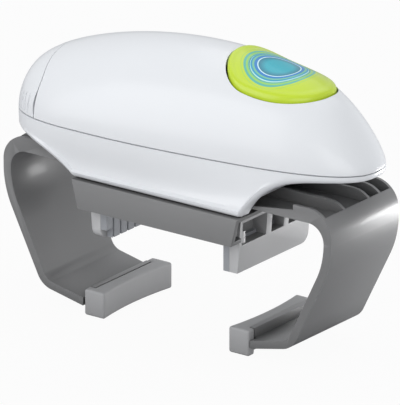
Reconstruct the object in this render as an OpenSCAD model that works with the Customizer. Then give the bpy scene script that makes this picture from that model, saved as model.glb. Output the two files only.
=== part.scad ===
// Battery jar opener.
// A teardrop body carries two hooked arms that close on the jar and, under
// it, a turning clamp whose two jaws close on the lid and unscrew it.
// Origin: on the turning axis, at the face that rests on the lid.
// +X runs to the nose and the start button, +Z is up. All sizes are in mm.

/* [Body shell] */
// Turning axis to the blunt battery end
body_back = 85; // [84:0.5:90]
// Turning axis to the nose
body_nose = 95; // [93.5:0.5:98]
// Half of the width of the body at its widest
body_half_w = 36; // [35:0.25:37]
// Where the body is widest, along X
widest_x = -35; // [-45:1:-28]
// How much narrower each flank is towards the nose
nose_taper = 2.75; // [0:0.25:4]
// Squareness of the plan at the battery end
back_square = 3.3; // [2.8:0.1:4]
// Squareness of the plan at the nose
nose_square = 2.45; // [2.3:0.05:2.9]
// Height of the seam between the two shells
seam_z = 36.5; // [36:0.25:39]
// Height of the crown over the seam
crown_h = 41; // [40:0.5:42]
// Where the crown is highest, along X
crown_x = 30; // [20:1:34]
// Fall of the ridge from the crown, 100 mm towards the battery end
back_fall = 15.5; // [13:0.5:18]
// Fall of the ridge from the crown, 50 mm towards the nose
nose_fall = 12.9; // [11:0.1:14]
// Squareness of the cross-section
cross_square = 2.05; // [2:0.05:2.3]
// Squareness of the side view at the battery end
back_side_square = 7.4; // [6:0.2:8]
// Squareness of the side view at the nose
nose_side_square = 3.5; // [3:0.1:4]
// Wall of the moulded shells
shell_wall = 2.2; // [1.8:0.1:2.6]
// Open line at the seam and round the battery cover
part_line = 0.4; // [0.3:0.05:0.6]
// Height of the skirt's lower edge
skirt_z = 13.5; // [13.3:0.1:14.5]
// Turning axis to each end of the skirt
skirt_x = 44.6; // [43.5:0.1:46]
// How far each side of the skirt's lower edge is drawn in
skirt_inset = 1.8; // [1:0.1:2]
// How far the belly rises over the skirt at the nose
nose_belly = 20; // [18:0.5:20.5]
// Length over which the belly rises at the nose
nose_belly_run = 10.5; // [9:0.5:12]
// How far the belly rises over the skirt at the battery end
back_belly = 15.5; // [14:0.5:17]
// Length over which the belly rises at the battery end
back_belly_run = 17; // [14:0.5:18]

/* [Battery end] */
// Turning axis to the part line of the battery cover at the seam
cover_x = 65; // [63:0.5:68]
// How far the part line leans out at the crown
cover_lean = 6; // [4:0.5:9]
// Height of the part line's straight foot over the seam
cover_foot = 16; // [13:0.5:18]
// Radius of each battery cell
cell_r = 7.1; // [6.9:0.05:7.25]
// Length of each battery cell's can
cell_l = 49.2; // [48:0.2:49.5]
// Height of the cells' axes
cell_z = 43.5; // [43.2:0.1:43.6]

/* [Start button] */
// Where the button is widest, along X
button_x = 37.5; // [36:0.5:39]
// Length of the button from there to its pointed end
button_nose_l = 31.8; // [30:0.2:33.4]
// Length of the button from there to its round end
button_tail_l = 17; // [15:0.5:18]
// Half of the width of the button
button_half_w = 19.4; // [19:0.2:20.6]
// Squareness of the button's outline
button_square = 2.2; // [2.05:0.05:2.4]
// Depth of the hollow in the button
button_dish = 2.5; // [1:0.25:4]
// Radius of the hollow in the button
button_dish_r = 17; // [15:0.5:20]
// Open line round the button
button_gap = 0.8; // [0.5:0.1:1.2]
// How far the button stands over the crown
button_rise = 1.2; // [0.6:0.1:2]
// Height of the button's moulded body
button_deep = 4.5; // [4:0.25:5]
// Travel of the button
button_travel = 1.5; // [0.5:0.1:1.8]
// Radius of the round lens in the button
lens_r = 13; // [11:0.5:13.5]
// Centre of the lens, along X
lens_x = 42.5; // [41:0.5:44]
// Thickness of the lens under the button's surface
lens_deep = 2; // [1.5:0.1:2.2]

/* [Arms] */
// Width of the arm bands
arm_w = 50; // [46:0.5:52]
// Underside of the arms' top plate
arm_z = 16.2; // [16:0.1:16.6]
// Depth of the arms' top plate
arm_deep = 6.7; // [6:0.1:6.9]
// Turning axis to the outside of the bend
arm_reach = 88.3; // [86:0.1:92]
// Radius of the bend at the shoulder
shoulder_r = 12; // [9:0.5:13]
// Thickness of the band
band_t = 4; // [3.4:0.1:5]
// Height at which the band starts to curve in
band_curve_z = 8; // [4:0.5:10]
// Radius of the band's inward curve
band_curve_r = 42; // [36:1:48]
// Angle at which the band runs down to the foot, from upright
band_lean = 26.4; // [22:0.2:30]
// Radius of the bend at the foot
foot_r = 10; // [8:0.5:11]
// Height of the foot bend's centre
foot_bend_z = -34.9; // [-36:0.1:-34]
// Slope of the foot towards the jar
foot_slope = 12; // [9:0.5:14]
// Thickness of the foot at the pad
foot_t = 3.6; // [3:0.1:4.5]
// Inner edge of the top plate, from the turning axis
arm_inner_x = 30; // [28:0.5:32]
// Thickness of the ribs in the top plate
rib_t = 1.5; // [1:0.1:2]
// Radius of the bend inside the shoulder
inner_r = 8.2; // [6:0.2:9]
// Floor of the ribbed top plate
tray_t = 1.5; // [1.2:0.1:2]
// Where the shoulder steps up from the tray, from the turning axis
step_x = 68; // [60:0.5:70]
// How far the tray's side rims lie under the shoulder
step_down = 2.4; // [1:0.1:3.5]
// Travel of the arms outwards
arm_open = 18; // [10:0.5:20]

/* [Arm pads] */
// Height of the rubber pads on the jar
pad_h = 12; // [9:0.5:14]
// Underside of the pads, on which the opener stands
pad_z = -52.5; // [-54:0.25:-51.5]
// Turning axis to the pads' ends
pad_x = 33.5; // [31:0.5:36]
// Radius of the pads' hollow face
pad_face_r = 150; // [100:5:250]
// Thickness of the pads at their middle
pad_t = 6; // [4.5:0.25:7]
// Length of the ears at each end of the pads
ear_x = 11; // [8:0.5:12]
// Thickness of the ears
ear_t = 4.5; // [3:0.25:5.5]

/* [Lid clamp] */
// Half of the width of the clamp housing
clamp_half_w = 34; // [33:0.25:34.5]
// Half of the clamp housing's length at its lower edge
clamp_low_x = 41.3; // [40:0.1:42.5]
// Half of the clamp housing's length at its upper edge
clamp_top_x = 44.6; // [43:0.1:46]
// Side walls of the clamp housing
clamp_wall = 2.5; // [2:0.1:2.8]
// Floor and roof of the clamp housing
clamp_plate = 2; // [1.6:0.1:2.2]
// Half of the length of the plate that rests on the lid
seat_x = 13; // [12:0.5:13.5]
// Width of the lid jaws
jaw_w = 52; // [48:0.5:53]
// Turning axis to the gripping face of the lid pads
jaw_face_x = 31.5; // [30:0.5:33]
// Lower edge of the lid jaws
jaw_z = -15; // [-16:0.25:-12]
// Thickness of the jaws' walls at the lower edge
jaw_t = 4.3; // [3.5:0.1:5]
// Lean of the jaws' outer face, over its height
jaw_lean = 2; // [0.5:0.1:2.5]
// Thickness of the rubber lid pads
lid_pad_t = 3.2; // [2.5:0.1:4]
// Travel of the lid jaws outwards
jaw_open = 10; // [4:0.5:11]
// Sill of the jaws' windows
window_z = -2.3; // [-4:0.1:-1.5]
// Height of the jaws' windows
window_h = 10.4; // [9.5:0.1:10.6]

/* [Gears] */
// Tooth size of the reduction gears
gear_m = 0.7; // [0.68:0.01:0.7]
// Tooth size of the rack gears
rack_m = 1; // [0.95:0.01:1]
// Teeth of the motor pinion and of the small wheels
small_teeth = 10; // [10:1:12]
// Teeth of the large wheels
large_teeth = 36; // [32:1:36]
// Teeth of the output gear
output_teeth = 60; // [56:1:60]
// Teeth of the pinion between the arms' racks
arm_teeth = 20; // [20:1:20]
// Teeth of the pinion between the jaws' racks
jaw_teeth = 16; // [16:1:16]
// Width of each gear's face
face_w = 3; // [2:0.1:3.2]
// Step from one level of gears to the next
level_step = 3.5; // [3.4:0.05:3.6]
// Free play between teeth
backlash = 0.14; // [0.1:0.01:0.2]
// Radius of the centre shaft
shaft_r = 3; // [2.5:0.1:3.2]
// Radius of the clamp housing's journal
journal_r = 6; // [5.5:0.1:6.2]
// Radius of the reduction gears' axles
axle_r = 1.5; // [1.2:0.1:1.7]
// Running clearance of shafts in their bores
running = 0.06; // [0.03:0.01:0.09]
// Radius of the motor's can
motor_r = 12; // [10:0.5:12.5]
// Height of the motor's can
motor_h = 18; // [14:0.5:18.5]

/* [Fits] */
// Clearance between pieces that slide past each other
slip = 0.3; // [0.25:0.05:0.4]
// Shank radius of the screws
screw_r = 1.3; // [1:0.1:1.4]
// Head radius of the screws
screw_head_r = 2.5; // [2.2:0.1:2.7]
// Head height of the screws
screw_head_h = 1.6; // [1.2:0.1:1.8]

/* [Hidden] */
curve = 48;
far = 300;
tiny = 0.01;
white = "#eef0f2";
grey = "#8a8b8d";
pale_grey = "#b4b6ba";
lime = "#b4d321";
steel = "#b8bcc2";

// ---- Curves of the body ----

// 0 before a, 1 after b and a smooth climb between them
function ease(a, b, x) = let (t = max(0, min(1, (x - a) / (b - a)))) t * t * (3 - 2 * t);

// Half-width of the flank at station x, before the ends are rounded
function flank(x) = body_half_w - nose_taper * ease(widest_x, widest_x + 80, x);

// Share of the way from the widest station to the end of the body
function along(x) = x < widest_x
  ? (widest_x - x) / (widest_x + body_back)
  : (x - widest_x) / (body_nose - widest_x);

function plan_power(x) = x < widest_x ? back_square : nose_square;

// Share left of a rounded shape at share u of its run, from 1 at the middle to 0 at the end
function rounded(u, n) = pow(max(0, 1 - pow(min(u, 1), n)), 1 / n);

back_power = 2.4;
nose_power = 3.5;

function half_w(x) = flank(x) * rounded(along(x), plan_power(x));

function ridge(x) = crown_h - (x < crown_x
  ? back_fall * pow((crown_x - x) / 100, back_power)
  : nose_fall * pow((x - crown_x) / 50, nose_power));

function side_h(x) = ridge(x) * rounded(along(x), x < widest_x ? back_side_square : nose_side_square);

// Height of the outer skin over a point of the plan
function dome_z(x, y) = seam_z
  + side_h(x) * rounded(abs(y) / max(half_w(x), tiny), cross_square);

// Point of the plan outline at an angle round the middle, drawn in by "inset"
function plan_point(a, inset = 0) = let (
    n = cos(a) < 0 ? back_square : nose_square,
    run = (cos(a) < 0 ? widest_x + body_back : body_nose - widest_x) - inset,
    x = widest_x + run * sign(cos(a)) * pow(abs(cos(a)), 2 / n),
    y = (flank(x) - inset) * sign(sin(a)) * pow(abs(sin(a)), 2 / n)
  ) [x, y];

// ---- Small helpers ----

// A closed skin through rings of points, listed from the bottom to the top
module skin(rings) {
  m = len(rings[0]);
  n = len(rings);
  sides = [
    for (i = [0:n - 2]) for (j = [0:m - 1]) let (k = (j + 1) % m)
      for (f = [[i * m + j, (i + 1) * m + k, i * m + k], [i * m + j, (i + 1) * m + j, (i + 1) * m + k]]) f
  ];
  ends = [[for (j = [0:m - 1]) j], [for (j = [m - 1:-1:0]) (n - 1) * m + j]];
  polyhedron([for (ring = rings) for (p = ring) p], concat(sides, ends), convexity = 8);
}

// Round corners for a side profile that is drawn in X and Z and runs along Y
module along_y(y1, y2) {
  translate([0, y2, 0]) rotate([90, 0, 0]) linear_extrude(y2 - y1) children();
}

module block(x1, x2, y1, y2, z1, z2) {
  translate([x1, y1, z1]) cube([x2 - x1, y2 - y1, z2 - z1]);
}

module tube_z(x, y, z1, z2, r) {
  translate([x, y, z1]) cylinder(h = z2 - z1, r = r, $fn = curve);
}

// The same piece on the other side of the turning axis
module turned() {
  rotate([0, 0, 180]) children();
}

// Points on an arc
function arc(cx, cz, r, a1, a2, n = 8) =
  [for (i = [0:n]) let (a = a1 + (a2 - a1) * i / n) [cx + r * cos(a), cz + r * sin(a)]];

// ---- Body shells ----

outline_steps = 64;
dome_rings = 13;
plan_angles = [for (i = [0:outline_steps - 1]) 360 * (i + 0.5) / outline_steps];

ring_power = 3;

// Solid under the crown, drawn in by "inset", with its foot at height z0
module dome(z0, inset = 0) {
  squeeze = (crown_h - inset) / crown_h;
  ring = function (s) [
    for (a = plan_angles)
      let (q = plan_point(a), p = plan_point(a, inset), x = widest_x + (q[0] - widest_x) * s)
      [widest_x + (p[0] - widest_x) * s, p[1] * s, seam_z + squeeze * (dome_z(x, q[1] * s) - seam_z)]
  ];
  foot = [for (a = plan_angles) let (p = plan_point(a, inset)) [p[0], p[1], z0]];
  rings = [for (i = [0:dome_rings]) ring(rounded(sin(90 * i / (dome_rings + 0.3)), ring_power))];
  skin(z0 < seam_z ? concat([foot], rings) : rings);
}

// One smooth skin, worked out as a whole
module single_skin() {
  resize([0, 0, 0]) children();
}

cover_shoulder = 5;
cover_top = 11;

// Side profile left of the battery cover's part line, moved along X by "shift"
module cover_profile(shift = 0) {
  x0 = -cover_x + shift;
  z1 = seam_z + cover_foot;
  polygon([
    [-far, -far], [x0, -far], [x0, z1], [x0 - cover_lean * 0.35, z1 + cover_shoulder],
    [x0 - cover_lean, z1 + cover_top], [x0 - cover_lean * 1.2, far], [-far, far]
  ]);
}

button_steps = 40;

// Outline of the button, grown by "grow"
function teardrop(grow = 0) = [
  for (i = [0:button_steps - 1]) let (
    a = 360 * (i + 0.5) / button_steps,
    run = grow + (cos(a) > 0 ? button_nose_l : button_tail_l)
  ) [
    button_x + run * sign(cos(a)) * pow(abs(cos(a)), 2 / button_square),
    (button_half_w + grow) * sign(sin(a)) * pow(abs(sin(a)), 2 / button_square)
  ]
];

post_r = 3.4;
post_up = 9;
post_back = [58, 22];
post_nose = [60, 20.5];
posts = [for (s = [-1, 1]) for (q = [[-post_back[0], s * post_back[1]], [post_nose[0], s * post_nose[1]]]) q];
post_seat = 3.2;
slot_top_z = arm_z + arm_deep + slip;

function post_seat_z(x) = max(belly_z(x), slot_top_z) + post_seat;

module upper_cover() {
  color(white) single_skin() difference() {
    dome(seam_z);
    difference() {
      dome(seam_z - 1, shell_wall);
      difference() {
        for (q = posts) tube_z(q[0], q[1], seam_z - 2, far, post_r);
        translate([0, 0, seam_z + post_up + 1]) linear_extrude(far) polygon(teardrop(button_gap + frame_wall + slip));
      }
    }
    along_y(-far, far) cover_profile();
    translate([0, 0, seam_z]) linear_extrude(far) polygon(teardrop(button_gap));
    block(-far, far, -far, far, seam_z - 2, seam_z + part_line / 2);
    for (q = posts) tube_z(q[0], q[1], seam_z - 1, seam_z + post_up, screw_r);
  }
}

grip_count = 4;
grip_pitch = 2.6;
grip_r = 0.5;
grip_x = -69.5;
grip_z1 = seam_z + 3;
grip_z2 = seam_z + 13;

// Upright finger groove in the flank of the battery cover
module grip_groove(k) {
  x = grip_x - k * grip_pitch;
  y = half_w(x);
  y_top = y * rounded((grip_z2 - seam_z) / side_h(x), cross_square);
  hull() {
    translate([x, -y, grip_z1]) sphere(grip_r, $fn = 8);
    translate([x, -y_top, grip_z2]) sphere(grip_r, $fn = 8);
  }
}

module battery_cover() {
  color(white) single_skin() difference() {
    dome(seam_z);
    dome(seam_z - 1, shell_wall);
    along_y(-far, far) difference() {
      square([3 * far, 5 * far], center = true);
      cover_profile(-part_line);
    }
    block(-far, far, -far, far, seam_z - 2, seam_z + part_line / 2);
    for (k = [0:grip_count - 1], s = [-1, 1]) scale([1, s, 1]) grip_groove(k);
  }
}

latch_half_w = 7;
latch_lift = 0.1;

// Height of the latch's highest point at station x, just under the skin's inside
function under_skin(x) = let (k = (body_back + widest_x) / (body_back + widest_x - shell_wall))
  seam_z - latch_lift
  + (crown_h - shell_wall) / crown_h * (dome_z(widest_x + (x - widest_x) * k, 1.1 * latch_half_w) - seam_z);

latch_reach = 5;
latch_x1 = -80;
latch_x2 = -cover_x - cover_lean + latch_reach;
latch_t = 1.2;
latch_top = under_skin(latch_x1);
latch_rib_t = 1.6;
latch_rib_x = -cover_x - cover_lean - 1.5;

// Tongue of the battery cover that lies under the upper cover's edge
module cover_latch() {
  color(white) union() {
    block(latch_x1, latch_x2, -latch_half_w, latch_half_w, latch_top - latch_t, latch_top);
    for (s = [-1, 1]) translate([0, s * (latch_half_w - 1), 0]) along_y(-latch_rib_t / 2, latch_rib_t / 2)
      polygon([
        [latch_x1, latch_top - tiny], [latch_x1, latch_top],
        [latch_rib_x - 2, under_skin(latch_rib_x - 2)], [latch_rib_x, under_skin(latch_rib_x - 1)],
        [latch_rib_x, latch_top - tiny]
      ]);
  }
}

// Height of the belly at station x
function belly_z(x) = x > 0
  ? skirt_z + nose_belly * (1 - exp(-max(0, x - skirt_x) / nose_belly_run))
  : skirt_z + back_belly * (1 - exp(-max(0, -x - skirt_x) / back_belly_run));

belly_steps = 14;
belly_run = 60;
belly_stations = [for (i = [0:belly_steps]) belly_run * pow(i / belly_steps, 1.6)];

// Side view of the space over the belly, drawn in by "inset"
module side_profile(inset = 0) {
  open_z = inset > 0 ? skirt_z - 5 : skirt_z;
  polygon(concat(
    [[-skirt_x + inset, open_z], [skirt_x - inset, open_z]],
    [for (d = belly_stations) [skirt_x + d - inset, belly_z(skirt_x + d) + inset]],
    [[far, belly_z(far) + inset], [far, far], [-far, far], [-far, belly_z(-far) + inset]],
    [for (i = [belly_steps:-1:0]) let (d = belly_stations[i])
      [-skirt_x - d + inset, belly_z(-skirt_x - d) + inset]]
  ));
}

// Point of the wall under the seam at share t of the way down to the skirt
function wall_point(a, t, inset) = let (
    q = plan_point(a, inset),
    spread = pow(t, 1.6) * (1 - ease(skirt_x, skirt_x + 30, abs(q[0]))),
    y = abs(q[1]) + spread * (body_half_w - skirt_inset - inset - abs(q[1]))
  ) [q[0], sign(q[1]) * y];

wall_levels = 5;

// Solid between the skirt and the seam, drawn in by "inset"
module flank_wall(inset, z1, z2) {
  skin([
    for (i = [0:wall_levels])
      let (z = z1 + (z2 - z1) * i / wall_levels, t = max(0, (seam_z - z) / (seam_z - skirt_z)))
      [for (a = plan_angles) let (q = wall_point(a, t, inset)) [q[0], q[1], z]]
  ]);
}

base_z = skirt_z + 0.1;
base_t = 2.3;
base_boss_r = 2.2;
base_boss_h = 9;
guide_y = arm_w / 2 + slip;
guide_t = 1.5;
base_hole_in = 14.6;
base_hole_x = skirt_x - base_hole_in;
base_hole_y = guide_y + guide_t + base_boss_r + 0.1;
base_holes = [for (x = [-1, 1], y = [-1, 1]) [x * base_hole_x, y * base_hole_y]];
base_head_r = 2;
arm_side = 0.8;

module lower_housing() {
  color(white) single_skin() difference() {
    intersection() {
      flank_wall(0, skirt_z, seam_z);
      along_y(-far, far) side_profile();
    }
    difference() {
      intersection() {
        flank_wall(shell_wall, skirt_z - 1, seam_z + 1);
        along_y(-far, far) side_profile(shell_wall);
      }
      for (q = posts) tube_z(q[0], q[1], skirt_z, seam_z + 2, post_r);
      for (q = base_holes) {
        tube_z(q[0], q[1], base_z + base_t + 0.05, base_z + base_boss_h, base_boss_r);
        block(q[0] - 1.5, q[0] + 1.5, min(q[1], sign(q[1]) * far), max(q[1], sign(q[1]) * far),
          base_z + base_t + 0.05, base_z + base_boss_h);
      }
    }
    block(-far, far, -arm_w / 2 - arm_side, arm_w / 2 + arm_side, 0, slot_top_z);
    for (q = posts) {
      tube_z(q[0], q[1], skirt_z, seam_z + 1, screw_r + 0.2);
      tube_z(q[0], q[1], skirt_z, post_seat_z(q[0]), screw_head_r + 0.2);
    }
    for (q = base_holes) tube_z(q[0], q[1], skirt_z, base_z + base_boss_h - 1, screw_r - 0.1);
    block(-far, far, -far, far, seam_z - part_line / 2, seam_z + 2);
  }
}

// ---- Start button ----

button_rim = 2.6;
button_sink = 0.7;
button_edge = 1.4;
lens_fit = 0.1;
lens_steps = 36;
spring_r = 6.4;
spring_wire = 0.5;
spring_turns = 4;
spring_steps = 12;
spring_free = 6;
button_boss_r = spring_r + 1.4;
button_seat_z = press_z(lens_x + button_boss_r, button_boss_r) - button_deep - 0.2;

// Height of the button's top over a point of the plan
function press_z(x, y) = dome_z(x, y) + button_rise
  - button_dish * max(0, 1 - ((x - lens_x) * (x - lens_x) + y * y) / button_dish_r / button_dish_r);

// Points of an outline shrunk to share s about the lens, at height "up" over the crown
function over_crown(outline, s, up) = [
  for (q = outline) let (x = lens_x + (q[0] - lens_x) * s, y = q[1] * s)
    [x, y, press_z(x, y) + up]
];

function ring_of(r, n) = [for (i = [0:n - 1]) [lens_x + r * cos(360 * i / n), r * sin(360 * i / n)]];

module start_button() {
  edge = teardrop();
  rim = 1 - button_rim / button_half_w;
  hole = ring_of(lens_r + lens_fit, lens_steps);
  lens_low = -button_sink - lens_deep;
  color(lime) single_skin() difference() {
    union() {
      skin([
        over_crown(edge, 0.1, -button_deep), over_crown(edge, 0.6, -button_deep),
        over_crown(edge, 0.97, -button_deep), over_crown(edge, 1, -button_deep + 0.5),
        over_crown(edge, 1, -button_edge), over_crown(edge, 0.985, -0.6), over_crown(edge, 0.95, -0.1),
        over_crown(edge, (1 + rim) / 2, 0), over_crown(edge, rim, -0.3),
        over_crown(edge, rim - 0.05, -button_sink), over_crown(edge, 0.7, -button_sink),
        over_crown(edge, 0.1, -button_sink)
      ]);
      tube_z(lens_x, 0, button_seat_z, press_z(lens_x, 0) - button_deep / 2, button_boss_r);
    }
    skin([
      over_crown(hole, 0.1, lens_low), over_crown(hole, 0.6, lens_low), over_crown(hole, 1, lens_low),
      over_crown(hole, 1, 2), over_crown(hole, 0.1, 2)
    ]);
  }
}

module button_lens() {
  edge = ring_of(lens_r, lens_steps);
  low = lens_fit - button_sink - lens_deep;
  top = button_edge / 2 - button_sink - 0.4;
  color("#1f9fd0") skin([
    over_crown(edge, 0.1, low), over_crown(edge, 0.6, low), over_crown(edge, 1, low),
    over_crown(edge, 1, top - 0.3), over_crown(edge, 0.95, top), over_crown(edge, 0.6, top),
    over_crown(edge, 0.1, top)
  ]);
}

frame_wall = 1.4;
frame_floor = 1.4;
cup_r = button_boss_r + 0.8;
plunger_r = 4;
well_floor_z = button_seat_z - spring_free;
well_deep = button_deep + button_travel + 0.8;
frame_post_x = lens_x;
frame_post_y = 10.5;
frame_post_r = 2.6;

// Well under the crown that guides the button
module button_frame() {
  inner = teardrop(button_gap - 0.2);
  outer = teardrop(button_gap + frame_wall);
  color("#3a3c3f") single_skin() difference() {
    union() {
      intersection() {
        skin([
          over_crown(outer, 0.1, -well_deep - frame_floor), over_crown(outer, 0.6, -well_deep - frame_floor),
          over_crown(outer, 1, -well_deep - frame_floor), over_crown(outer, 1, far), over_crown(outer, 0.1, far)
        ]);
        dome(seam_z, shell_wall + 0.15);
      }
      tube_z(lens_x, 0, well_floor_z - frame_floor, press_z(lens_x, 0) - well_deep, cup_r + frame_wall);
      for (s = [-1, 1])
        tube_z(frame_post_x, s * frame_post_y, board_z + board_t + 0.02, well_floor_z + 1, frame_post_r);
    }
    skin([
      over_crown(inner, 0.1, -well_deep), over_crown(inner, 0.6, -well_deep), over_crown(inner, 1, -well_deep),
      over_crown(inner, 1, far), over_crown(inner, 0.1, far)
    ]);
    tube_z(lens_x, 0, well_floor_z, far, cup_r);
    tube_z(lens_x, 0, 0, far, plunger_r);
    for (s = [-1, 1]) tube_z(frame_post_x, s * frame_post_y, 0, well_floor_z - 1, screw_r + 0.1);
  }
}

// Coil spring between the well's floor and the button
module button_spring() {
  z1 = well_floor_z + spring_wire + 0.02;
  z2 = button_seat_z - spring_wire - 0.02;
  total = spring_turns * spring_steps;
  color(steel) skin([
    for (i = [0:total]) let (a = 360 * i / spring_steps, out = [cos(a), sin(a), 0])
      [for (b = [300:-60:0]) [lens_x, 0, z1 + (z2 - z1) * i / total]
        + out * (spring_r + spring_wire * cos(b)) + [0, 0, spring_wire * sin(b)]]
  ]);
}

switch_half_l = 6;
switch_half_w = 3;
switch_h = 5.5;
board_t = 1.6;
board_z = well_floor_z - frame_floor - 1.2 - switch_h - board_t;
board_x1 = 33;
board_x2 = 60;
board_half_w = 13;
stud_r = 1.6;

module micro_switch() {
  top = board_z + board_t + switch_h;
  color("#26282b") union() {
    block(lens_x - switch_half_l, lens_x + switch_half_l, -switch_half_w, switch_half_w,
      board_z + board_t + 0.02, top);
    tube_z(lens_x, 0, top - tiny, button_seat_z - button_travel - 0.4, stud_r);
  }
}

module circuit_board() {
  color("#1f6b3a") difference() {
    block(board_x1, board_x2, -board_half_w, board_half_w, board_z, board_z + board_t);
    for (s = [-1, 1]) tube_z(frame_post_x, s * frame_post_y, board_z - 1, board_z + far, screw_r + 0.1);
  }
}

// ---- Gears ----

pressure = 20;
tooth_up = 0.7;
tooth_down = 1;

// Outline of a wheel with short teeth, its first tooth at angle "turn"
function wheel(teeth, m, turn = 0) = let (
    r = teeth * m / 2,
    base = r * cos(pressure),
    tip = r + tooth_up * m,
    root = r - tooth_down * m,
    half = 90 / teeth - backlash / 4 / r * 180 / PI,
    inv = function (q) q <= base ? 0 : let (c = acos(base / q)) tan(c) * 180 / PI - c,
    open = function (q) half + inv(r) - inv(q),
    low = max(base, root + 0.1)
  ) [
    for (i = [0:teeth - 1]) let (a = turn + 360 * i / teeth)
      for (p = [
        [root, -open(low) - 0.05], [low, -open(low)], [r, -half], [tip, -open(tip)],
        [tip, open(tip)], [r, half], [low, open(low)], [root, open(low) + 0.05]
      ]) p[0] * [cos(a + p[1]), sin(a + p[1])]
  ];

// Turn that puts wheel B in mesh with wheel A, along the line of centres at angle "line"
function mesh_turn(teeth_a, turn_a, line, teeth_b) =
  line + 180 - 360 / teeth_b * (0.5 - (line - turn_a) * teeth_a / 360);

module gear(teeth, m, z1, z2, turn) {
  translate([0, 0, z1]) linear_extrude(z2 - z1) polygon(wheel(teeth, m, turn));
}

chassis_z = slot_top_z;
chassis_t = 2;
low_level = chassis_z + chassis_t + 0.8;
mid_level = low_level + level_step;
top_level = mid_level + level_step;
chassis_top_z = top_level + face_w + 0.6;
output_r = output_teeth * gear_m / 2;
large_r = large_teeth * gear_m / 2;
small_r = small_teeth * gear_m / 2;
line_2 = 33.2;
line_1 = -39.2;
line_0 = 195.9;
wheel_2 = (output_r + small_r) * [cos(line_2), sin(line_2)];
wheel_1 = wheel_2 + (large_r + small_r) * [cos(line_1), sin(line_1)];
motor_at = wheel_1 + (large_r + small_r) * [cos(line_0), sin(line_0)];
motor_z = chassis_top_z + chassis_t;
turn_small_2 = mesh_turn(output_teeth, 0, line_2, small_teeth);
turn_motor = mesh_turn(large_teeth, 0, line_0, small_teeth);
hub_wall = 1;

module compound_gear(at, large_z, small_z, turn_large, turn_small) {
  z1 = chassis_z + chassis_t + slip;
  z2 = chassis_top_z - slip;
  translate([at[0], at[1], 0]) difference() {
    union() {
      gear(large_teeth, gear_m, large_z, large_z + face_w, turn_large);
      gear(small_teeth, gear_m, small_z, small_z + face_w, turn_small);
      tube_z(0, 0, z1, z2, axle_r + hub_wall);
    }
    tube_z(0, 0, z1 - 1, z2 + 1, axle_r + running);
  }
}

module compound_gear_1() {
  color("#e8e3d2") compound_gear(wheel_1, top_level, mid_level, 0, turn_wheel_1);
}

module compound_gear_2() {
  color("#e8e3d2") compound_gear(wheel_2, mid_level, low_level, 0, turn_small_2);
}

turn_wheel_1 = mesh_turn(large_teeth, 0, line_1, small_teeth);
web_holes = 6;
web_ring_r = 13.5;
web_hole_r = 4;
ring_z = low_level + face_w + 0.1;
ring_t = 1;
ring_out = 2.4;
ring_groove = 0.7;
ring_gap = 3.2;
journal_top = ring_z + ring_t + 1;

module output_gear() {
  color("#e8e3d2") difference() {
    gear(output_teeth, gear_m, low_level, low_level + face_w, 0);
    tube_z(0, 0, low_level - 1, low_level + far, journal_r + 0.02);
    for (i = [1:web_holes]) let (a = 360 * i / web_holes)
      tube_z(web_ring_r * cos(a), web_ring_r * sin(a), low_level - 1, low_level + far, web_hole_r);
  }
}

module retaining_ring() {
  color(steel) translate([0, 0, ring_z + 0.02]) difference() {
    cylinder(h = ring_t, r = journal_r + ring_out, $fn = curve);
    translate([0, 0, -1]) cylinder(h = ring_t + 2, r = journal_r - ring_groove + 0.02, $fn = curve);
    translate([0, -ring_gap / 2, -1]) cube([far, ring_gap, ring_t + 2]);
  }
}

pinion_bore_r = 1;

module motor_shaft() {
  color(steel) tube_z(motor_at[0], motor_at[1], top_level - 0.5, motor_z - 0.02, pinion_bore_r);
}

module motor_pinion() {
  color("#c9a24a") translate([motor_at[0], motor_at[1], 0]) difference() {
    gear(small_teeth, gear_m, top_level, top_level + face_w, turn_motor);
    tube_z(0, 0, top_level - 1, top_level + far, pinion_bore_r + 0.02);
  }
}

motor_cap_r = 4;
motor_cap_h = 1.5;
motor_tab_x = 7;

module motor() {
  top = motor_z + motor_h;
  color(steel) translate([motor_at[0], motor_at[1], 0]) union() {
    tube_z(0, 0, motor_z + 0.02, top, motor_r);
    tube_z(0, 0, top - tiny, top + motor_cap_h, motor_cap_r);
    for (s = [-1, 1]) block(motor_tab_x, motor_tab_x + 1.6, s * 4 - 1.2, s * 4 + 1.2, top - tiny, top + 2.4);
  }
}

module gear_axles() {
  color(steel) for (at = [wheel_1, wheel_2])
    tube_z(at[0], at[1], chassis_z + 0.4, chassis_top_z + chassis_t, axle_r);
}

chassis_x1 = -24;
chassis_x2 = 47;
chassis_wide_x = 34;
chassis_y1 = -27;
chassis_y2 = 27.2;
chassis_tip_y1 = -14;
chassis_tip_y2 = 19;
pillar_r = 2.6;
pillars = [[-20.5, -23.8], [-20.5, 23.8], [30, -22], [44, 16.2]];

module chassis_plate(z) {
  block(chassis_x1, chassis_wide_x, chassis_y1, chassis_y2, z, z + chassis_t);
  block(chassis_wide_x - tiny, chassis_x2, chassis_tip_y1, chassis_tip_y2, z, z + chassis_t);
}

// Lower gear plate, which rests on the guides of the base plate
module chassis_base() {
  color("#55585c") difference() {
    union() {
      chassis_plate(chassis_z);
      for (q = pillars) tube_z(q[0], q[1], chassis_z, chassis_top_z - 0.02, pillar_r);
    }
    tube_z(0, 0, 0, far, journal_r + 0.6);
    for (at = [wheel_1, wheel_2]) tube_z(at[0], at[1], 0, far, axle_r + 0.01);
    for (q = pillars) tube_z(q[0], q[1], chassis_top_z - 7, far, screw_r - 0.1);
  }
}

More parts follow.
